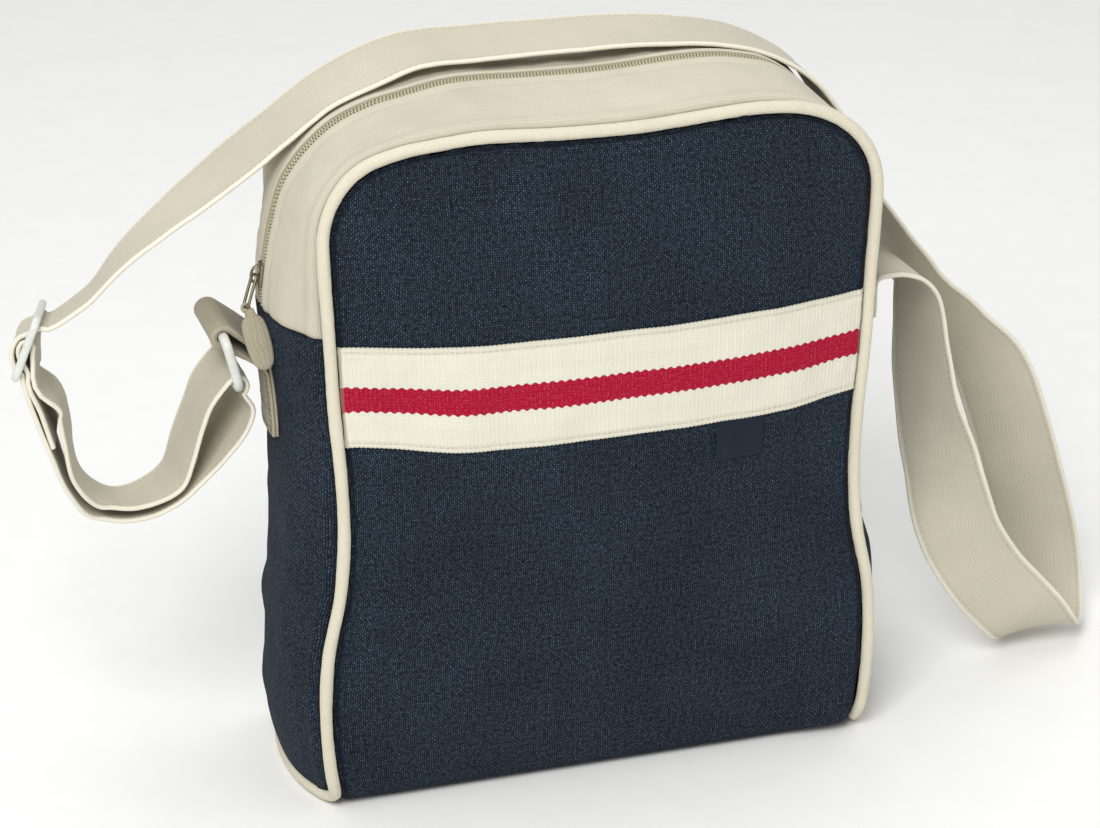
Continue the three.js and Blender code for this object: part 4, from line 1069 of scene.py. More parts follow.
    def band_points(self, heights: Array, u: Array, out: Array | float) -> Array:
        """Points of the band: on the front face, its lower corners drawn up more than the upper ones.

        Args:
            heights: Heights over the band's foot.
            u: Shares of the half width.
            out: Distance out of the band's middle.

        Returns:
            Grid of points.
        """
        b = self.body
        count, level = len(heights), 1 - heights[:, None] / self.band_height
        rows = {
            "z": self.band_foot + heights,
            "half": np.full(count, b.half - b.seam_inset),
            "curl": np.zeros(count),
            "ny": np.full(count, -1.0),
            "nz": np.zeros(count),
        }
        left, right = smooth((-0.5 - u) / 0.5), smooth((u - 0.7) / 0.3)
        rise = left * (2.6 + 2.6 * level) + right * (0.4 + 1.8 * level)
        return b.face(rows, u, b.cloth / 2 + b.gap + self.band / 2 + out, Face.FRONT, rise)[0]

    def striped_band(self, material: bpy.types.Material) -> bpy.types.Object:
        """Band across the front: ribbed across, finely notched along its edges, and tucked into both seams."""
        b = self.body
        half = b.half - b.seam_inset
        u = np.linspace(-1, 1, 521)
        x = half * u
        share = np.sin(np.linspace(-np.pi / 2, np.pi / 2, 39)) * 0.5 + 0.5
        heights = share * self.band_height
        edge = np.minimum(heights, self.band_height - heights)[:, None]
        gather = 0.75 + 0.25 * np.sin(x * 2.1)
        dip = -0.34 * np.exp(-(((edge - 2.5) / 0.75) ** 2)) * gather
        rib = 0.09 * np.cos(2 * np.pi * x / 1.95) * smooth(edge / 0.8)
        points = self.band_points(heights, u, dip + rib)
        notch = 0.16 * np.cos(2 * np.pi * x / 1.95) * np.sign(heights - self.band_height / 2)[:, None]
        points[..., 2] += notch * smooth(1 - edge / 0.7)
        uv = np.stack(np.broadcast_arrays(x, heights[:, None]), -1)
        # Painted shade along both edges and in the dip at the stitch lines.
        painted_shading_map = 0.5 * np.exp(-edge / 0.5) + 0.25 * np.exp(-(((edge - 2.5) / 0.6) ** 2))
        sheet = Cloth.grid(points, uv, np.array([0, -1.0, 0]), painted_shading_map + 0 * u)
        index = np.arange(points.shape[0] * points.shape[1]).reshape(points.shape[:2])
        for border in (index[:, 0], index[:, -1]):
            sheet = sheet.hem(border, b.seam_bend, 0.2)
        thickness = self.band * (0.35 + 0.65 * np.sqrt(np.clip(edge / 0.7, 0, 1))) + 0 * u
        padded = np.full(len(sheet.points), self.band)
        padded[: thickness.size] = thickness.ravel()
        return finish(sheet.make("striped_band", padded), material, Slot.BAND, "stripe_band")

    def band_stitches(self, thread: bpy.types.Material) -> bpy.types.Object:
        """Stitches beside both long edges of the band."""
        u = np.linspace(-1, 1, 241)
        rows = []
        for height in (2.5, self.band_height - 2.5):
            path = self.band_points(np.array([height]), u, self.band / 2 - 0.12)[0]
            rows.append((path, np.tile([0, -1.0, 0], (len(path), 1))))
        piece = Stitching(pitch=2.7, length=2.2, radius=0.3, seed=81).sew("band_stitches", rows)
        return finish(piece, thread, Slot.BAND)

    def side_label(self, material: bpy.types.Material) -> bpy.types.Object:
        """Small blank label that hangs from the band's lower edge."""
        b = self.body
        x0, wide, tall, thick = self.label
        heights = np.linspace(self.band_foot - b.gap - tall, self.band_foot - b.gap, 15)
        rows = {
            "z": heights,
            "half": np.full(15, b.half - b.edge),
            "curl": np.zeros(15),
            "ny": np.full(15, -1.0),
            "nz": np.zeros(15),
        }
        u = np.linspace(x0, x0 + wide, 19) / (b.half - b.edge)
        left = smooth(1 - np.linspace(0, 1, 19) / 0.35)
        out = b.cloth / 2 + b.gap + thick / 2 + 1.1 * left * smooth((heights[-1] - heights)[:, None] / 8)
        points, uv = b.face(rows, u, out, Face.FRONT)
        sheet = Cloth.grid(points, uv, np.array([0, -1.0, 0]), 0.0)
        return finish(sheet.make("blank_label", thick), material, Slot.LABEL, "side_label")


@dataclass
class Piping:
    """Covered cord sewn round both edges of the gusset and under the foot at each side."""

    body: Body
    sides: int = 18
    step: float = 2.4

    def path(self) -> Array:
        """Centre line: up over the front arch, under the right foot, over the back arch, and under the left foot."""
        b = self.body
        low = b.piping_radius + b.gap
        corner = b.back - b.foot_radius
        s = np.linspace(low + b.foot_radius, b.arch - low - b.foot_radius, round(b.arch / self.step))
        x, z, _, _ = b.station(s)
        front = stack(x, np.full_like(x, -b.back), z)
        a = np.linspace(0, np.pi / 2, 9)[1:]
        bend = np.stack([corner + b.foot_radius * np.cos(a), low + b.foot_radius * (1 - np.sin(a))], -1)
        run = np.linspace(corner, -corner, 33)[1:-1]
        y = np.concatenate([bend[:, 0], run, -bend[::-1, 0]])
        zf = np.concatenate([bend[:, 1], np.full(len(run), low), bend[::-1, 1]])
        right = stack(np.full_like(y, b.half), -y, zf)
        left = stack(np.full_like(y, -b.half), y, zf)
        back = stack(x, np.full_like(x, b.back), z)[::-1]
        path = b.settle(np.vstack([front, right[:-1], back, left[:-1]]))
        near = smooth(1 - (path[:, 2] - low) / b.foot_radius)
        bow = b.side_bulge * b.gusset_form.at(np.zeros(1)) * b.puff(path[:, 1]) * near
        return path + np.sign(path[:, :1]) * np.array([1.0, 0, 0]) * bow[:, None]

    def make(self, material: bpy.types.Material) -> bpy.types.Object:
        """Tube along the path; its radius wavers a little where the cover is gathered."""
        b = self.body
        path = self.path()
        tangent = path_tangents(path, loop=True)
        outward = path - np.array([0, 0, b.height / 2])
        up = unit(outward - np.sum(outward * tangent, axis=1, keepdims=True) * tangent)
        side = np.cross(tangent, up)
        along = lengths(path, loop=True)
        angle = np.linspace(0, 2 * np.pi, self.sides, endpoint=False)
        wave = Ripple(51, 9, 0.1).at(along[:-1, None], 9 * np.cos(angle))
        wave = wave + Ripple(52, 40, 0.08).at(along[:-1, None], angle)
        radius = (b.piping_radius + wave)[..., None]
        rings = path[:, None] + radius * (np.cos(angle)[:, None] * up[:, None] + np.sin(angle)[:, None] * side[:, None])
        points, faces, uvs = sweep(rings, along, True, 2 * np.pi * b.piping_radius)
        return finish(make_mesh("piping_cord", points, faces, uvs), material, Slot.PIPING, "piping")


@dataclass
class Hardware:
    """Places of the ring and the slide adjuster, as the CAD has them."""

    body: Body
    y: float = 8
    ring_stand: float = 37
    ring_drop: float = 9
    ring_lean: float = 5.5
    ring_pitch: float = 24
    ring_wire: float = 2.2
    glide_stand: float = 119
    glide_rise: float = 2
    glide_pitch: float = 13.5
    glide_wire: float = 1.8
    glide_lean: tuple[float, float] = (0.385, 0.923)
    glide_turn: float = -13
    glide_tip: float = -12
    length: float = 46

    @property
    def ring_top(self) -> Array:
        """Centre of the ring's upper bar, (x, z)."""
        return np.array([-self.body.half - self.ring_stand, self.body.seam_height - self.ring_drop])

    @property
    def ring_low(self) -> Array:
        """Centre of the ring's lower bar, (x, z)."""
        return self.ring_top + [self.ring_lean, -math.sqrt(self.ring_pitch**2 - self.ring_lean**2)]

    @property
    def glide(self) -> Array:
        """Centre of the slide adjuster's middle bar, (x, z)."""
        return np.array([-self.body.half - self.glide_stand, self.ring_top[1] + self.glide_rise])

    def glide_frame(self) -> tuple[Array, Array, Array, Array]:
        """Centre of the adjuster, and its directions along the bars, from the lower to the upper, and outwards."""
        centre = np.array([self.glide[0], self.y, self.glide[1]])
        axis = width_at(math.radians(self.glide_turn), math.radians(self.glide_tip))
        up = unit(np.array([self.glide_lean[0], 0, self.glide_lean[1]]))
        up = unit(up - (up @ axis) * axis)
        return centre, axis, up, np.cross(up, axis)

    def bar(self, name: str, path: Array, flatness: float, wire: float, loop: bool, plane: Array) -> bpy.types.Object:
        """Bar of rounded section along a path in a plane.

        Args:
            name: Name of the piece.
            path: Centre line.
            flatness: Thickness out of the plane, by the wire's.
            wire: Half the width in the plane.
            loop: Whether the path is closed.
            plane: Direction out of the plane.

        Returns:
            The piece.
        """
        if loop:
            path = resample(path, 1.2, loop=True)
        tangent = path_tangents(path, loop)
        side = unit(np.cross(tangent, plane))
        angle = np.linspace(0, 2 * np.pi, 20, endpoint=False)
        c, s = np.cos(angle), np.sin(angle)
        form = np.stack([np.sign(c) * np.abs(c) ** 0.8, flatness * np.sign(s) * np.abs(s) ** 0.8], -1) * wire
        rings = path[:, None] + form[:, :1] * side[:, None] + form[:, 1:] * plane
        return make_mesh(name, *sweep(rings, lengths(path, loop), loop, 2 * np.pi * wire))

    def ring(self, material: bpy.types.Material) -> bpy.types.Object:
        """Moulded ring that hangs in the tab."""
        drop = unit(self.ring_low - self.ring_top)
        middle = (self.ring_top + self.ring_low) / 2
        centre, along = np.array([middle[0], self.y, middle[1]]), np.array([drop[0], 0, drop[1]])
        across = np.array([0, 1.0, 0])
        path = frame_path(centre, across, along, self.length / 2, self.ring_pitch / 2, 5)
        plane = np.cross(across, along)
        piece = self.bar("moulded_ring", path, 1.0, self.ring_wire, True, plane)
        return finish(piece, material, Slot.PLASTIC, "strap_ring")

    def adjuster(self, material: bpy.types.Material) -> bpy.types.Object:
        """Moulded slide adjuster: a frame and its middle bar, joined in one mesh."""
        centre, axis, up, plane = self.glide_frame()
        path = frame_path(centre, axis, up, self.length / 2, self.glide_pitch, 4)
        outer = self.bar("slide_adjuster", path, 1.0, self.glide_wire, True, plane)
        reach = np.linspace(-1, 1, 12)[:, None] * axis * self.length / 2
        inner = self.bar("adjuster_bar", centre + reach, 1.0, self.glide_wire * 0.98, False, plane)
        for piece in (outer, inner):
            outwards(piece)
        join(outer, inner)
        return finish(outer, material, Slot.PLASTIC, "strap_slider")


def join(main_piece: bpy.types.Object, *others: bpy.types.Object) -> bpy.types.Object:
    """Joins pieces into the first one's mesh."""
    with bpy.context.temp_override(
        active_object=main_piece,
        selected_objects=[main_piece, *others],
        selected_editable_objects=[main_piece, *others],
    ):
        bpy.ops.object.join()
    return main_piece


def resample(path: Array, step: float, loop: bool = False) -> Array:
    """Points at even steps along a path, on its chords."""
    along = lengths(path, loop)
    points = np.vstack([path, path[:1]]) if loop else path
    count = max(int(round(along[-1] / step)), 4)
    places = np.linspace(0, along[-1], count + (0 if loop else 1), endpoint=not loop)
    return np.stack([np.interp(places, along, points[:, i]) for i in range(3)], -1)


@dataclass
class Strap:
    """Flat strap: sewn round the adjuster, through the ring, over the bag and down its right side."""

    body: Body
    hardware: Hardware
    width: float = 40
    thick: float = 2.0
    reach: float = 125
    flange: float = 16
    step: float = 2.2

    def course(self) -> Array:
        """Rows of the course: x, y, z in millimetres, then turn and tip in degrees.

        Free runs are given by x in half widths (past the side, in units of `reach`), y in depths and z in heights, or
        as a drop below the ring's upper bar in units of `reach`. Runs round the bars are arcs about their centres.

        Returns:
            Array (rows, 5).
        """
        b, h = self.body, self.hardware
        hug = h.glide_wire + b.gap + self.thick / 2
        lap = self.thick + b.gap + 0.1
        centre, _, up, out = h.glide_frame()

        def bar(*pairs: tuple[float, float]) -> list[list[float]]:
            """Rows at (out, up) from the adjuster's middle bar."""
            return [[*(centre + o * out + u * up), h.glide_turn, h.glide_tip] for o, u in pairs]

        def hung(*rows: tuple[float, float, float, float, float]) -> list[list[float]]:
            """Rows of (x, drop, turn, tip, step from the hardware's depth)."""
            top = h.ring_top[1]
            return [[-b.half + (x + 1) * self.reach, h.y + y, top - d * self.reach, a, t] for x, d, a, t, y in rows]

        def over(*rows: tuple[float, float, float, float, float]) -> list[list[float]]:
            """Rows of (x, y, z, turn, tip) by the body's sizes."""
            made = []
            for x, y, z, a, t in rows:
                size = min(abs(x), 1) * b.half + max(abs(x) - 1, 0) * self.reach
                made.append([math.copysign(size, x), y * b.depth, z * b.height, a, t])
            return made

        pitch = h.glide_pitch
        round_ = np.radians(np.linspace(118, -62, 9))
        hold = h.ring_wire + b.gap + self.thick / 2 + 0.8
        fold = [[h.ring_low[0] + hold * math.cos(a), h.y, h.ring_low[1] + hold * math.sin(a), 0, 0] for a in round_]
        return np.array([
            *hung((-1.888, 0.327, -14, -9, -4.5), (-1.922, 0.209, -13, -11, -3)),
            *bar(
                (-hug - lap - 0.1, -pitch), (-hug - lap * 0.55, 1.1 * hug - pitch), (-hug * 0.5, 2 * hug - pitch),
                (hug * 0.5, -hug * 1.5), (hug, -hug * 0.4), (hug * 0.8, hug * 0.66), (0, hug * 1.06),
                (-hug * 0.8, hug * 0.66), (-hug * 1.06, -hug * 0.4), (-hug - lap * 0.9, -hug * 2),
                (-hug - 2.3 * lap, -pitch),
            ),
            *hung(
                (-1.868, 0.204, -13, -11, -3), (-1.85, 0.305, -13, -10, -4), (-1.825, 0.464, -12, -9, -3),
                (-1.755, 0.588, -6, -10, 0), (-1.67, 0.633, 0, -11, 0), (-1.58, 0.626, 2, -10, 0),
                (-1.475, 0.568, 3, -7, 0), (-1.43, 0.462, 3, -3, 0), (-1.388, 0.345, 0, 0, 0), (-1.345, 0.245, 0, 0, 0),
            ),
            *fold,
            *hung(
                (-1.218, 0.284, 8, 0, 0), (-1.252, 0.36, 11, 0, 0), (-1.316, 0.444, 11, -2, 0),
                (-1.4, 0.542, 7, -5, 0), (-1.49, 0.628, 3, -8, 0), (-1.585, 0.674, 1, -10, 0),
                (-1.69, 0.676, 0, -10, 0), (-1.785, 0.626, -4, -9, 0), (-1.855, 0.507, -11, -9, -3),
                (-1.9, 0.365, -12, -10, -4), (-1.94, 0.229, -13, -11, -3),
            ),
            *bar(
                (-hug - 0.15, -pitch), (-hug * 0.72, hug * 0.76 - pitch), (hug * 0.26, hug * 1.06 - pitch),
                (hug + lap * 0.6, -hug * 1.7), (hug + lap, -hug * 0.3), (hug + lap * 0.66, hug * 1.05),
                (hug * 0.5, hug * 2), (-hug * 0.5, pitch - hug * 1.1), (-hug * 1.6, pitch - hug * 0.9),
            ),
            *over(
                (-1.74, 0.095, 0.762, -11, -10), (-1.624, 0.11, 0.807, -8, -7), (-1.48, 0.145, 0.848, -4, -3),
                (-1.32, 0.19, 0.886, -1, 2), (-1.168, 0.235, 0.923, 0, 5), (-1.008, 0.265, 0.963, 0, 4),
                (-0.856, 0.28, 1.003, 0, 4), (-0.672, 0.28, 1.034, 0, 7), (-0.53, 0.28, 1.05, 0, 5),
                (-0.3, 0.28, 1.052, 0, 5), (0, 0.28, 1.051, 0, 4), (0.29, 0.28, 1.048, 0, 3),
                (0.54, 0.28, 1.037, 0, 1), (0.7, 0.27, 1.023, 0, 0), (0.84, 0.265, 0.9965, 0, 0),
                (0.965, 0.26, 0.958, 0, 0), (1.075, 0.265, 0.892, 1, 0), (1.17, 0.29, 0.8, 5, 0),
                (1.295, 0.29, 0.72, 12, 0), (1.42, 0.29, 0.634, 28, 0), (1.6, 0.285, 0.546, 44, 0),
                (1.76, 0.28, 0.463, 58, 0), (1.857, 0.3, 0.373, 62, 0), (1.936, 0.32, 0.278, 68, 0),
                (2.005, 0.33, 0.19, 73, 0), (2.048, 0.32, 0.12, 80, 0), (2.056, 0.28, 0.069, 82, 0),
                (2.03, 0.195, 0.037, 78, -1), (1.98, 0.095, 0.029, 74, -5), (1.928, 0.005, 0.041, 76, -12),
                (1.87, -0.05, 0.065, 82, -19), (1.78, -0.08, 0.104, 86, -25), (1.66, -0.1, 0.16, 86, -28),
                (1.538, -0.1, 0.243, 74, -25), (1.47, -0.06, 0.35, 48, -14), (1.4, -0.02, 0.475, 27, -6),
                (1.372, 0, 0.585, 16, -2), (1.352, 0, 0.642, 10, 0), (1.31, 0, 0.672, 4, 0), (1.24, 0, 0.686, 0, 0),
                (1.16, 0, 0.687, 0, 0),
            ),
        ])

    def sewn_end(self, course: Array) -> Array:
        """Adds the end that turns down and lies on the right side panel."""
        b = self.body
        bend = 3.2
        top = course[-1, 2]

        def outside(drop: float) -> float:
            """x of the strap's middle on the side panel at a distance below the last row."""
            gap = b.cloth / 2 + b.gap + self.thick / 2
            return float(b.gusset(np.array([b.arch - top + drop]), np.zeros(1), gap)[0, 0])

        wall = outside(bend)
        course = course.copy()
        course[-1, 0] = wall + bend + 2.5
        extra = [[wall + 0.3 * bend, 0, top - 0.329 * bend, 0, 0], [wall, 0, top - bend, 0, 0]]
        for drop in (bend + self.flange / 2, bend + self.flange):
            extra.append([outside(drop), 0, top - drop, 0, 0])
        return np.vstack([course, extra])

    def rows(self) -> tuple[Array, Array, Array, Array]:
        """Centre line, width direction, direction out of the face, and distance, at even steps.

        The line is a centripetal Catmull-Rom curve through the course. The width direction turns smoothly from row to
        row, is evened along the strap, and is held square to the line.

        Returns:
            Four arrays.
        """
        course = self.sewn_end(self.course())
        p = course[:, :3]
        padded = np.vstack([2 * p[0] - p[1], p, 2 * p[-1] - p[-2]])
        p0, p1, p2, p3 = padded[:-3], padded[1:-2], padded[2:-1], padded[3:]
        d0, d1, d2 = (np.sqrt(np.linalg.norm(b - a, axis=1))[:, None] for a, b in ((p0, p1), (p1, p2), (p2, p3)))
        m1 = ((p1 - p0) / d0 - (p2 - p0) / (d0 + d1) + (p2 - p1) / d1) * d1
        m2 = ((p2 - p1) / d1 - (p3 - p1) / (d1 + d2) + (p3 - p2) / d2) * d1
        t = np.linspace(0, 1, 24, endpoint=False)[None, :, None]
        c2, c3 = -3 * p1 + 3 * p2 - 2 * m1 - m2, 2 * p1 - 2 * p2 + m1 + m2
        line = p1[:, None] + m1[:, None] * t + c2[:, None] * t**2 + c3[:, None] * t**3
        turn, tip = np.radians(course[:, 3]), np.radians(course[:, 4])
        mix = smooth(t[..., 0])
        turn = turn[:-1, None] * (1 - mix) + turn[1:, None] * mix
        tip = tip[:-1, None] * (1 - mix) + tip[1:, None] * mix
        wide = width_at(turn, tip)
        line = np.vstack([line.reshape(-1, 3), p[-1]])
        wide = np.vstack([wide.reshape(-1, 3), wide[-1, -1]])
        along = lengths(line)
        places = np.linspace(0, along[-1], round(along[-1] / self.step) + 1)
        line = np.stack([np.interp(places, along, line[:, i]) for i in range(3)], -1)
        wide = np.stack([np.interp(places, along, wide[:, i]) for i in range(3)], -1)
        kernel = np.exp(-((np.arange(-6, 7) / 3) ** 2))
        kernel /= kernel.sum()
        wide = np.stack([np.convolve(np.pad(wide[:, i], 6, mode="edge"), kernel, "valid") for i in range(3)], -1)
        tangent = path_tangents(line)
        wide = unit(wide - np.sum(wide * tangent, axis=1, keepdims=True) * tangent)
        return line, wide, unit(np.cross(tangent, wide)), places

    def surface(self, across: Array) -> Array:
        """Height of the strap's face: flat cloth, thicker rounded edges, and a shallow groove where each seam runs."""
        inset = self.width / 2 - np.abs(across)
        edge = np.sqrt(np.clip(inset / 1.1, 0, 1) * (2 - np.clip(inset / 1.1, 0, 1)))
        swell = 0.2 * np.exp(-(((inset - 1.3) / 0.8) ** 2)) - 0.26 * np.exp(-(((inset - 2.8) / 0.5) ** 2))
        return edge * (self.thick / 2 - 0.12 + swell)

    def wave(self, along: Array, across: Array) -> Array:
        """Slight waves of the strap's face, free of them where it is held by the hardware."""
        wave = Ripple(61, 26, 0.35).at(along, across) + Ripple(62, 9, 0.1).at(along, across)
        return 0.5 * wave * smooth((along - 60) / 20)

    def make(self, material: bpy.types.Material) -> bpy.types.Object:
        """Strap: both faces carried along the rows, with slight waves in them."""
        line, wide, out, along = self.rows()
        half = self.width / 2
        across = half * np.sin(np.linspace(-np.pi / 2, np.pi / 2, 41))
        top = self.surface(across)
        k = np.concatenate([across, across[-2:0:-1]])
        height = np.concatenate([top, -top[-2:0:-1]])
        lift = height[None, :] + self.wave(along[:, None], k[None, :])
        rings = line[:, None] + k[None, :, None] * wide[:, None] + lift[..., None] * out[:, None]
        points, faces, uvs = sweep(rings, along, False, 2 * self.width)
        inset = half - np.abs(k)
        # Painted shade in the groove at the stitch line, painted highlight on the rolled edges.
        groove = 0.3 * np.exp(-(((inset - 2.8) / 0.5) ** 2)) - 0.85 * np.exp(-((inset / 1.9) ** 4))
        painted_shading_map = np.concatenate([np.tile(groove, len(along)), [0.0, 0.0]])
        return finish(make_mesh("canvas_strap", points, faces, uvs, painted_shading_map), material, Slot.CREAM, "strap")

    def stitches(self, thread: bpy.types.Material) -> bpy.types.Object:
        """Stitches beside both edges on both faces."""
        line, wide, out, along = self.rows()
        rows = []
        for across in (2.8 - self.width / 2, self.width / 2 - 2.8):
            for face in (-1, 1):
                lift = face * (self.surface(np.array(across)) + 0.02) + self.wave(along, np.full_like(along, across))
                rows.append((line + across * wide + lift[:, None] * out, face * out))
        return finish(Stitching(seed=91).sew("strap_stitches", rows), thread, Slot.CREAM)


@dataclass
class Zip:
    """Coil zip under the gusset's lips, with its slider, wire link and cloth puller."""

    body: Body
    hardware: Hardware
    tape_width: float = 18
    tape: float = 0.8
    coil_height: float = 2.2
    tooth_pitch: float = 1.5
    slider_rise: float = 15
    slider_length: float = 10
    link_wire: float = 0.7
    link_width: float = 6.6
    link_half: float = 7.5
    puller_length: float = 31
    puller_width: float = 11.6
    puller_thickness: float = 4

    @property
    def tape_top(self) -> float:
        """Distance of the tape's upper face from the middle of the gusset's cloth."""
        return -self.body.cloth / 2 - self.body.gap

    @property
    def slider_height(self) -> float:
        """Place of the slider's middle along the arch."""
        return self.body.seam_height + self.slider_rise

    def reach(self) -> tuple[float, float]:
        """First and last place of the zip along the arch."""
        low = self.body.seam_height + self.body.gap / 2
        return low, self.body.arch - low

    def make_tape(self, material: bpy.types.Material) -> bpy.types.Object:
        """Woven tape: a grid along the arch, a little raised where the coil is sewn to it."""
        low, high = self.reach()
        s = np.linspace(low, high, 221)[:, None]
        y = np.linspace(-1, 1, 37)[None, :] * self.tape_width / 2
        cord = 0.25 * np.exp(-(((np.abs(y) - 3.2) / 0.5) ** 2))
        points = self.body.gusset(s, y, self.tape_top - self.tape / 2 + cord - 0.05, 0.0)
        _, _, nx, nz = self.body.station(s)
        uv = np.stack(np.broadcast_arrays(y, s), -1)
        # Painted shade along the middle of the tape, under the coil.
        painted_coil_shade = 0.35 * np.exp(-np.abs(y) / 1.0) + 0 * s
        sheet = Cloth.grid(points, uv, stack(nx, np.zeros_like(nx), nz) + 0 * points, painted_coil_shade)
        return finish(sheet.make("zip_tape", self.tape), material, Slot.ZIP, "zip_chain")

    def make_coil(self, material: bpy.types.Material) -> bpy.types.Object:
        """Teeth: loops of round thread in two rows, half a step apart, that meet at the middle.

        Each tooth is a capsule bent over: its out coordinate falls with the square of the distance from its crown.

        Returns:
            The piece.
        """
        low, high = self.reach()
        steps = np.arange(low + 0.8, high - 0.8, self.tooth_pitch)
        template = capsule(3.3, 0.52, rings=6, sides=8)
        across, side, up = template[0].T
        rows = []
        for sign, shift in ((-1, 0.0), (1, 0.5)):
            y = sign * (across + 1.3)
            bend = self.tape_top + self.coil_height - 0.62 - 0.17 * (across - 0.1) ** 2
            lean = 0.16 * across
            s = np.clip(steps[:, None] + shift * self.tooth_pitch + side[None] + lean[None], low, high)
            rows.append(self.body.gusset(s, y[None], (bend + up)[None], 0.0))
        return finish(scatter("zip_teeth", template, np.concatenate(rows)), material, Slot.ZIP)

    def on_gusset(self, along: Array, y: Array, out: Array) -> Array:
        """Points from the slider's own coordinates: up the arch, across it and out of it."""
        return self.body.gusset(self.slider_height + along, y, out, 0.0)

    def make_slider(self, material: bpy.types.Material) -> bpy.types.Object:
        """Slider: a domed shield-shaped plate, two side rails and an arched bridge, joined in one piece."""
        roof = self.tape_top + self.coil_height + self.body.gap
        a = np.linspace(0, 2 * np.pi, 40, endpoint=False)
        c, s = np.cos(a), np.sin(a)
        along = self.slider_length / 2 * np.sign(c) * np.abs(c) ** 0.55
        across = 4.0 * np.sign(s) * np.abs(s) ** 0.6 * (0.86 + 0.14 * along / (self.slider_length / 2))
        levels = (
            (0.88, 0.0), (0.98, 0.12), (1.0, 0.4), (1.0, 0.75), (0.95, 1.0), (0.84, 1.15), (0.6, 1.25), (0.3, 1.3),
        )
        rings = np.stack([self.on_gusset(along * k, across * k, np.full(40, roof + h)) for k, h in levels])
        plate = make_mesh("zip_slider_shield", *sweep(rings, np.arange(len(levels)) * 0.6, False, 28))
        parts = [outwards(plate)]
        for sign in (-1, 1):
            t = np.linspace(-0.92, 0.92, 14)[:, None]
            ring = np.linspace(0, 2 * np.pi, 12, endpoint=False)[None]
            x = t * self.slider_length / 2 + 0 * ring
            y = sign * (3.62 * (0.9 + 0.1 * t)) + 0.34 * np.cos(ring)
            z = roof - 0.45 + 1.25 * np.sin(ring) * np.ones_like(t)
            rail = make_mesh("rail", *sweep(self.on_gusset(x, y, z), np.arange(14.0), False, 6))
            parts.append(outwards(rail))
        arch = np.linspace(0, np.pi, 25)
        path = stack(3.9 * np.cos(arch), np.zeros(25), roof + 0.7 + 3.5 * np.sin(arch) ** 0.7)
        ring = np.linspace(0, 2 * np.pi, 12, endpoint=False)
        tangent = path_tangents(path)
        normal = np.cross(tangent, np.array([0, 1.0, 0]))
        tube = path[:, None] + 0.6 * np.cos(ring)[:, None] * normal[:, None]
        tube = tube + 1.0 * np.sin(ring)[:, None] * np.array([0, 1.0, 0])
        bridge = make_mesh("bridge", *sweep(self.on_gusset(*np.moveaxis(tube, -1, 0)), lengths(path), False, 5))
        parts.append(outwards(bridge))
        return finish(join(*parts), material, Slot.METAL, "zip_slider")

    def link_frame(self) -> tuple[Array, Array, Array]:
        """Centre of the link, its long direction and the direction across it."""
        eye = self.on_gusset(np.zeros(1), np.zeros(1), np.full(1, self.tape_top + self.coil_height + 2.9))[0]
        drop = unit(np.array([-0.36, -0.26, -0.89]))
        across = unit(np.array([0, 1.0, 0]) - drop[1] * drop)
        return eye + drop * self.link_half, drop, across

    def make_link(self, material: bpy.types.Material) -> bpy.types.Object:
        """Link of round wire."""
        centre, drop, across = self.link_frame()
        path = resample(frame_path(centre, across, drop, self.link_width / 2, self.link_half, 2), 0.7, loop=True)
        tangent = path_tangents(path, loop=True)
        plane = np.cross(across, drop)
        side = unit(np.cross(tangent, plane))
        ring = np.linspace(0, 2 * np.pi, 12, endpoint=False)
        tube = path[:, None] + self.link_wire * (np.cos(ring)[:, None] * side[:, None] + np.sin(ring)[:, None] * plane)
        piece = make_mesh("zip_pull_wire", *sweep(tube, lengths(path, True), True, 4.4))
        return finish(piece, material, Slot.METAL, "zip_pull_link")

    def puller_frame(self) -> tuple[Array, Array, Array, Array]:
        """Top of the puller and its directions down, across and through."""
        centre, drop, _ = self.link_frame()
        top = centre + drop * (self.link_half - 2.2)
        h = self.hardware
        end = np.array([h.ring_top[0] + 16.8, h.y - 34, h.ring_top[1] - 18])
        down = unit(end - top)
        wide = unit(np.array([1.0, 0, 0]) - down[0] * down)
        return top, down, wide, np.cross(down, wide)

    def make_puller(self, material: bpy.types.Material) -> bpy.types.Object:
        """Puller: a padded leaf with lengthwise ribs, a wound neck, and a cord loop round the link's lower bar."""
        top, down, wide, thick = self.puller_frame()
        profile = (
            (0.1, 0.3, 0.72), (0.13, 0.36, 0.9), (0.19, 0.42, 0.98), (0.25, 0.74, 0.92), (0.33, 0.92, 0.98),
            (0.5, 1.0, 1.0), (0.75, 0.93, 0.96), (0.9, 0.76, 0.84), (0.97, 0.5, 0.55), (1.0, 0.2, 0.2),
        )
        t = np.concatenate(
            [np.linspace(0.1, 0.3, 18)[:-1], np.linspace(0.3, 0.88, 36)[:-1], 1 - 0.12 * np.linspace(1, 0, 14) ** 2]
        )
        width = Curve(tuple((p, w) for p, w, _ in profile)).at(t)[:, None]
        depth = Curve(tuple((p, d) for p, _, d in profile)).at(t)[:, None]
        a = np.linspace(0, 2 * np.pi, 48, endpoint=False)[None]
        c = np.sign(np.cos(a)) * np.abs(np.cos(a)) ** 0.75
        d = np.sign(np.sin(a)) * np.abs(np.sin(a)) ** 0.75
        body = smooth((t - 0.22) / 0.08)[:, None] * smooth((0.97 - t) / 0.1)[:, None]
        rib = 1 - 0.16 * body * np.cos(c * np.pi * 3.0) ** 2 * smooth(np.abs(d) * 2)
        wound = 1 + 0.07 * (1 - body) * np.cos(t[:, None] * self.puller_length * 2 * np.pi / 0.95)
        x = c * width * self.puller_width / 2 * wound
        z = d * depth * self.puller_thickness / 2 * rib * wound
        line = top + t[:, None] * self.puller_length * down
        rings = line[:, None] + x[..., None] * wide + z[..., None] * thick
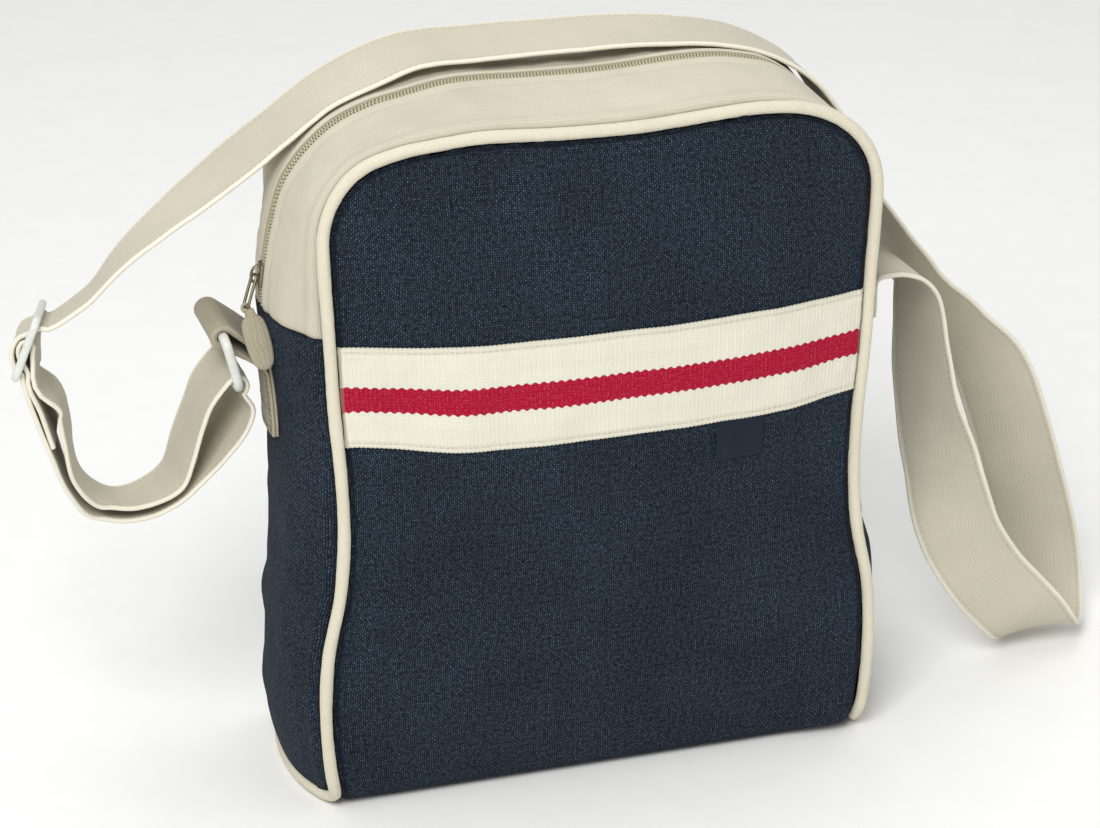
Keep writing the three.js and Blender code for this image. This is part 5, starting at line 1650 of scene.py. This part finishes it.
        leaf = outwards(make_mesh("zip_puller_leaf", *sweep(rings, t * self.puller_length, False, 24)))
        centre, drop, across = self.link_frame()
        bar = centre + drop * self.link_half
        turn = np.linspace(0, 2 * np.pi, 28, endpoint=False)[:, None]
        plane = unit(np.cross(across, down))
        loop = bar + 0.35 * down + 1.75 * np.cos(turn) * down + 1.6 * np.sin(turn) * plane
        tangent = path_tangents(loop, loop=True)
        side = unit(np.cross(tangent, across))
        ring = np.linspace(0, 2 * np.pi, 10, endpoint=False)
        tube = loop[:, None] + 0.75 * (np.cos(ring)[:, None] * side[:, None] + np.sin(ring)[:, None] * across)
        cord = outwards(make_mesh("cord_loop", *sweep(tube, lengths(loop, True), True, 5)))
        return finish(join(leaf, cord), material, Slot.CREAM, "zip_puller")


@dataclass
class RingTab:
    """Folded tab on the left side: a patch sewn to the panel, whose upper end turns round the ring's bar."""

    body: Body
    hardware: Hardware
    width: float = 36
    tab: float = 3
    foot: float = 170

    def path(self, y: Array) -> tuple[Array, Array]:
        """Middle of the folded sheet and its thickness, for each depth.

        It rises on the side panel, passes over and round the bar on an arc, and comes back down outside itself.

        Args:
            y: Depths, (columns,).

        Returns:
            Points (rows, columns, 3) and thickness (rows,).
        """
        b, h = self.body, self.hardware
        hole = h.ring_wire + b.gap + 0.3
        outer = hole + self.tab * 0.95
        ply = self.tab / 2
        top = h.ring_top[1] - outer - self.tab * 2

        def beside(z: Array, out: float) -> Array:
            """Points (len(z), columns, 2) as x and z, at a distance outside the side panel."""
            wall = b.gusset(np.broadcast_to(z[:, None], (len(z), len(y))), y[None], b.cloth / 2)[..., 0]
            return np.stack([wall - b.gap - out, np.broadcast_to(z[:, None], wall.shape)], -1)

        rise = beside(np.linspace(self.foot + 0.8, top, 26), ply * 0.5)
        angle = np.radians(np.linspace(40, 255, 44))
        mid = (outer + hole) / 2
        arc = np.stack([h.ring_top[0] + mid * np.cos(angle), h.ring_top[1] + mid * np.sin(angle)], -1)
        arc = np.repeat(arc[:, None], len(y), axis=1)
        fall = beside(np.linspace(top - 4, self.foot + 0.8, 24), ply * 1.5)
        rows = np.concatenate([rise, arc, fall])
        kernel = np.exp(-((np.arange(-4, 5) / 2.0) ** 2))
        kernel /= kernel.sum()
        fine = np.concatenate([np.repeat(rows[:1], 4, 0), rows, np.repeat(rows[-1:], 4, 0)])
        eased = sum(k * fine[i : i + len(rows)] for i, k in enumerate(kernel))
        thick = np.concatenate([np.full(26, ply), np.full(44, outer - hole), np.full(24, ply)])
        padded = np.pad(thick, 4, mode="edge")
        thick = np.convolve(padded, kernel, "valid")
        return stack(eased[..., 0], y[None] + 0 * eased[..., 0], eased[..., 1]), thick

    def make(self, material: bpy.types.Material) -> bpy.types.Object:
        """Tab: the folded sheet, thinned to a round edge at both ends of its width."""
        h = self.hardware
        share = np.sin(np.linspace(-np.pi / 2, np.pi / 2, 45))
        y = h.y + self.width / 2 * share
        points, thick = self.path(y)
        inset = self.width / 2 * (1 - np.abs(share))
        edge = np.sqrt(np.clip(inset / 0.9, 0.04, 1) * (2 - np.clip(inset / 0.9, 0, 1)))
        seam = 1 - 0.22 * np.exp(-(((inset - 2.2) / 0.5) ** 2)) + 0.06 * np.exp(-(((inset - 1.2) / 0.5) ** 2))
        along = lengths(points[:, len(y) // 2])
        uv = np.stack(np.broadcast_arrays(y[None], along[:, None]), -1)
        outward = np.array([-1.0, 0, 0.2])
        sheet = Cloth.grid(points, uv, outward, 0.0)
        thickness = (thick[:, None] * (edge * seam)[None]).ravel()
        return finish(sheet.make("ring_tab_cloth", thickness), material, Slot.CREAM, "ring_tab")

    def sew(self, thread: bpy.types.Material) -> bpy.types.Object:
        """Stitches along the patch: two rows beside one edge and one beside the other, and two rows across the foot."""
        h = self.hardware
        y = h.y + np.array([-1, -0.87, 0.87]) * (self.width / 2 - 1.6)
        points, thick = self.path(y)
        fall = slice(70, len(points))
        rows = []
        for column in range(3):
            path = points[fall, column]
            normal = np.repeat([[-1.0, 0, 0.1]], len(path), axis=0)
            rows.append((path + normal * thick[fall][:, None] * 0.5, normal))
        across = np.linspace(-1, 1, 24) * (self.width / 2 - 1.6) + h.y
        foot, _ = self.path(across)
        for row, step in ((-3, 0.75), (-9, 0.75)):
            normal = np.repeat([[-1.0, 0, 0.1]], 24, axis=0)
            rows.append((foot[row] + normal * step, normal))
        piece = Stitching(pitch=2.6, length=2.0, radius=0.3, seed=71).sew("tab_stitches", rows)
        return finish(piece, thread, Slot.CREAM)


def studio() -> None:
    """Pale floor, soft lights and the camera at the photograph's angle."""
    mesh = bpy.data.meshes.new("floor")
    size = 6.0
    mesh.from_pydata([(-size, -size, 0), (size, -size, 0), (size, size, 0), (-size, size, 0)], [], [(0, 1, 2, 3)])
    floor = bpy.data.objects.new("floor", mesh)
    bpy.context.scene.collection.objects.link(floor)
    floor.data.materials.append(Plain("matte_white_paper", "#f7f7f5", 0.9, grain=40, mottle=0.01).make())
    world = bpy.data.worlds.new("studio")
    world.use_nodes = True
    world.node_tree.nodes["Background"].inputs[0].default_value = (1, 1, 1, 1)
    world.node_tree.nodes["Background"].inputs[1].default_value = 0.48
    bpy.context.scene.world = world
    lamps = (
        ("key", (-1.05, -1.65, 2.0), 1.2, 50.0),
        ("fill", (1.9, -1.3, 1.1), 1.6, 4.0),
        ("top", (0.1, 0.4, 2.1), 1.6, 12.0),
    )
    for name, place, size, power in lamps:
        lamp = bpy.data.lights.new(name, "AREA")
        lamp.size, lamp.energy = size, power
        lamp_object = bpy.data.objects.new(name, lamp)
        lamp_object.location = place
        aim = Vector((0, 0, 0.16)) - Vector(place)
        lamp_object.rotation_euler = aim.to_track_quat("-Z", "Y").to_euler()
        bpy.context.scene.collection.objects.link(lamp_object)
    lens = bpy.data.cameras.new("camera")
    lens.lens, lens.sensor_width = 116.67, 36
    lens.clip_start, lens.clip_end = 0.05, 50
    camera = bpy.data.objects.new("camera", lens)
    ahead = Vector((0.2708, 0.8695, -0.4131)).normalized()
    right = ahead.cross(Vector((0, 0, 1))).normalized()
    up = right.cross(ahead)
    turn = Matrix((right, up, -ahead)).transposed().to_4x4()
    camera.matrix_world = Matrix.Translation((-0.45094, -1.41622, 0.83371)) @ turn
    bpy.context.scene.collection.objects.link(camera)
    bpy.context.scene.camera = camera
    bpy.context.scene.view_settings.view_transform = "Standard"


def main() -> None:
    """Builds the bag's sub-assemblies in order."""
    logging.basicConfig(level=logging.INFO, format="%(message)s")
    body = Body()
    hardware = Hardware(body)
    # Threads are drawn about 1 mm apart, not the real 0.6, so that a preview pixel does not blur them away.
    # washed cotton canvas: matte, dark, with pale flecks on the crowns of the lengthwise yarn
    navy = WovenCloth(
        "washed_navy_canvas", "#121b25", "#73869a", "#090e13", pitch=0.94, fleck=0.56, patch=0.13, relief=0.28,
        sheen=0.02, thread=0.14, slub=0.1, even=0.2,
    ).make()
    # undyed canvas: very even, hardly any difference from thread to thread
    cream = WovenCloth(
        "cream_canvas", "#c6c1af", "#d6d1c3", "#a49c86", pitch=1.1, fleck=0.2, patch=0.045, relief=0.07, thread=0.012,
        slub=0.015, painted_shade_colour="#726851",
    ).make()
    # finer, paler cloth wrapped on the bias round the cord
    piping_cloth = WovenCloth(
        "piping_cotton", "#d8d2be", "#e2ddcf", "#ada48c", pitch=1.0, fleck=0.3, patch=0.03, relief=0.14, thread=0.02,
        slub=0.01, painted_shade_colour="#726851", bias=45,
    ).make()
    # bright cream webbing with a strong red centre
    band_cloth = BandWebbing(
        "striped_webbing", "#dcd9ca", "#e6e4da", "#bab39e", pitch=0.975, fleck=0.1, patch=0.02, relief=0.08,
        thread=0.03, slub=0.01, painted_shade_colour="#80755f", sheen=0.02,
    ).make()
    # close flat weave, darker and bluer than the canvas under it
    label_cloth = WovenCloth(
        "woven_label", "#18222e", "#2b3848", "#0e141b", pitch=0.8, fleck=0.2, patch=0.04, relief=0.05, thread=0.04,
        slub=0.02,
    ).make()
    # polyester thread, a little brighter than the cloth it holds
    thread = WovenCloth(
        "cotton_thread", "#d0cab9", "#ddd9cd", "#92886f", pitch=0.8, fleck=0.2, patch=0.05, relief=0.05, thread=0.03,
        slub=0.01, painted_shade_colour="#726851",
    ).make()
    # the tab's thread has gone brown with handling
    brown = WovenCloth(
        "browned_thread", "#625842", "#7e735a", "#383124", pitch=0.8, fleck=0.2, patch=0.1, relief=0.05, thread=0.05,
        slub=0.02, painted_shade_colour="#383124",
    ).make()
    # coil and tape dyed a greenish tan
    tape = WovenCloth(
        "zip_tape_weave", "#ada485", "#c1b9a1", "#71694c", pitch=0.9, fleck=0.3, patch=0.03, relief=0.08, thread=0.05,
        slub=0.01, painted_shade_colour="#48422b",
    ).make()
    coil = Plain("nylon_coil", "#b2ab8e", 0.45, mottle=0.1).make()
    # milk-white moulded nylon with a soft shine
    plastic = Plain("moulded_nylon", "#d2d4cd", 0.32).make()
    # dull plated zinc
    metal = Plain("antique_zinc", "#8d846e", 0.38, 1.0).make()
    # puller and tab: the same canvas in a darker greyish tan, which on the tab is painted shade
    leaf = WovenCloth(
        "puller_and_shaded_tab_canvas", "#a59e8a", "#b8b19e", "#7b715b", pitch=1.0, fleck=0.3, patch=0.06, relief=0.14, thread=0.03,
        slub=0.02, painted_shade_colour="#574e3a",
    ).make()
    shell = Shell(body, navy, cream)
    for face in Face:
        shell.face(face)
    shell.base()
    for side in Side:
        shell.side(side)
    for face in Face:
        shell.gusset(face)
    shell.striped_band(band_cloth)
    shell.band_stitches(thread)
    shell.side_label(label_cloth)
    Piping(body).make(piping_cloth)
    hardware.ring(plastic)
    hardware.adjuster(plastic)
    strap = Strap(body, hardware)
    strap.make(cream)
    strap.stitches(thread)
    chain = Zip(body, hardware)
    chain.make_tape(tape)
    chain.make_coil(coil)
    chain.make_slider(metal)
    chain.make_link(metal)
    chain.make_puller(leaf)
    tab = RingTab(body, hardware)
    # the tab takes the darker canvas as painted shade
    tab.make(leaf)
    tab.sew(brown)
    studio()


if __name__ == "__main__":
    main()
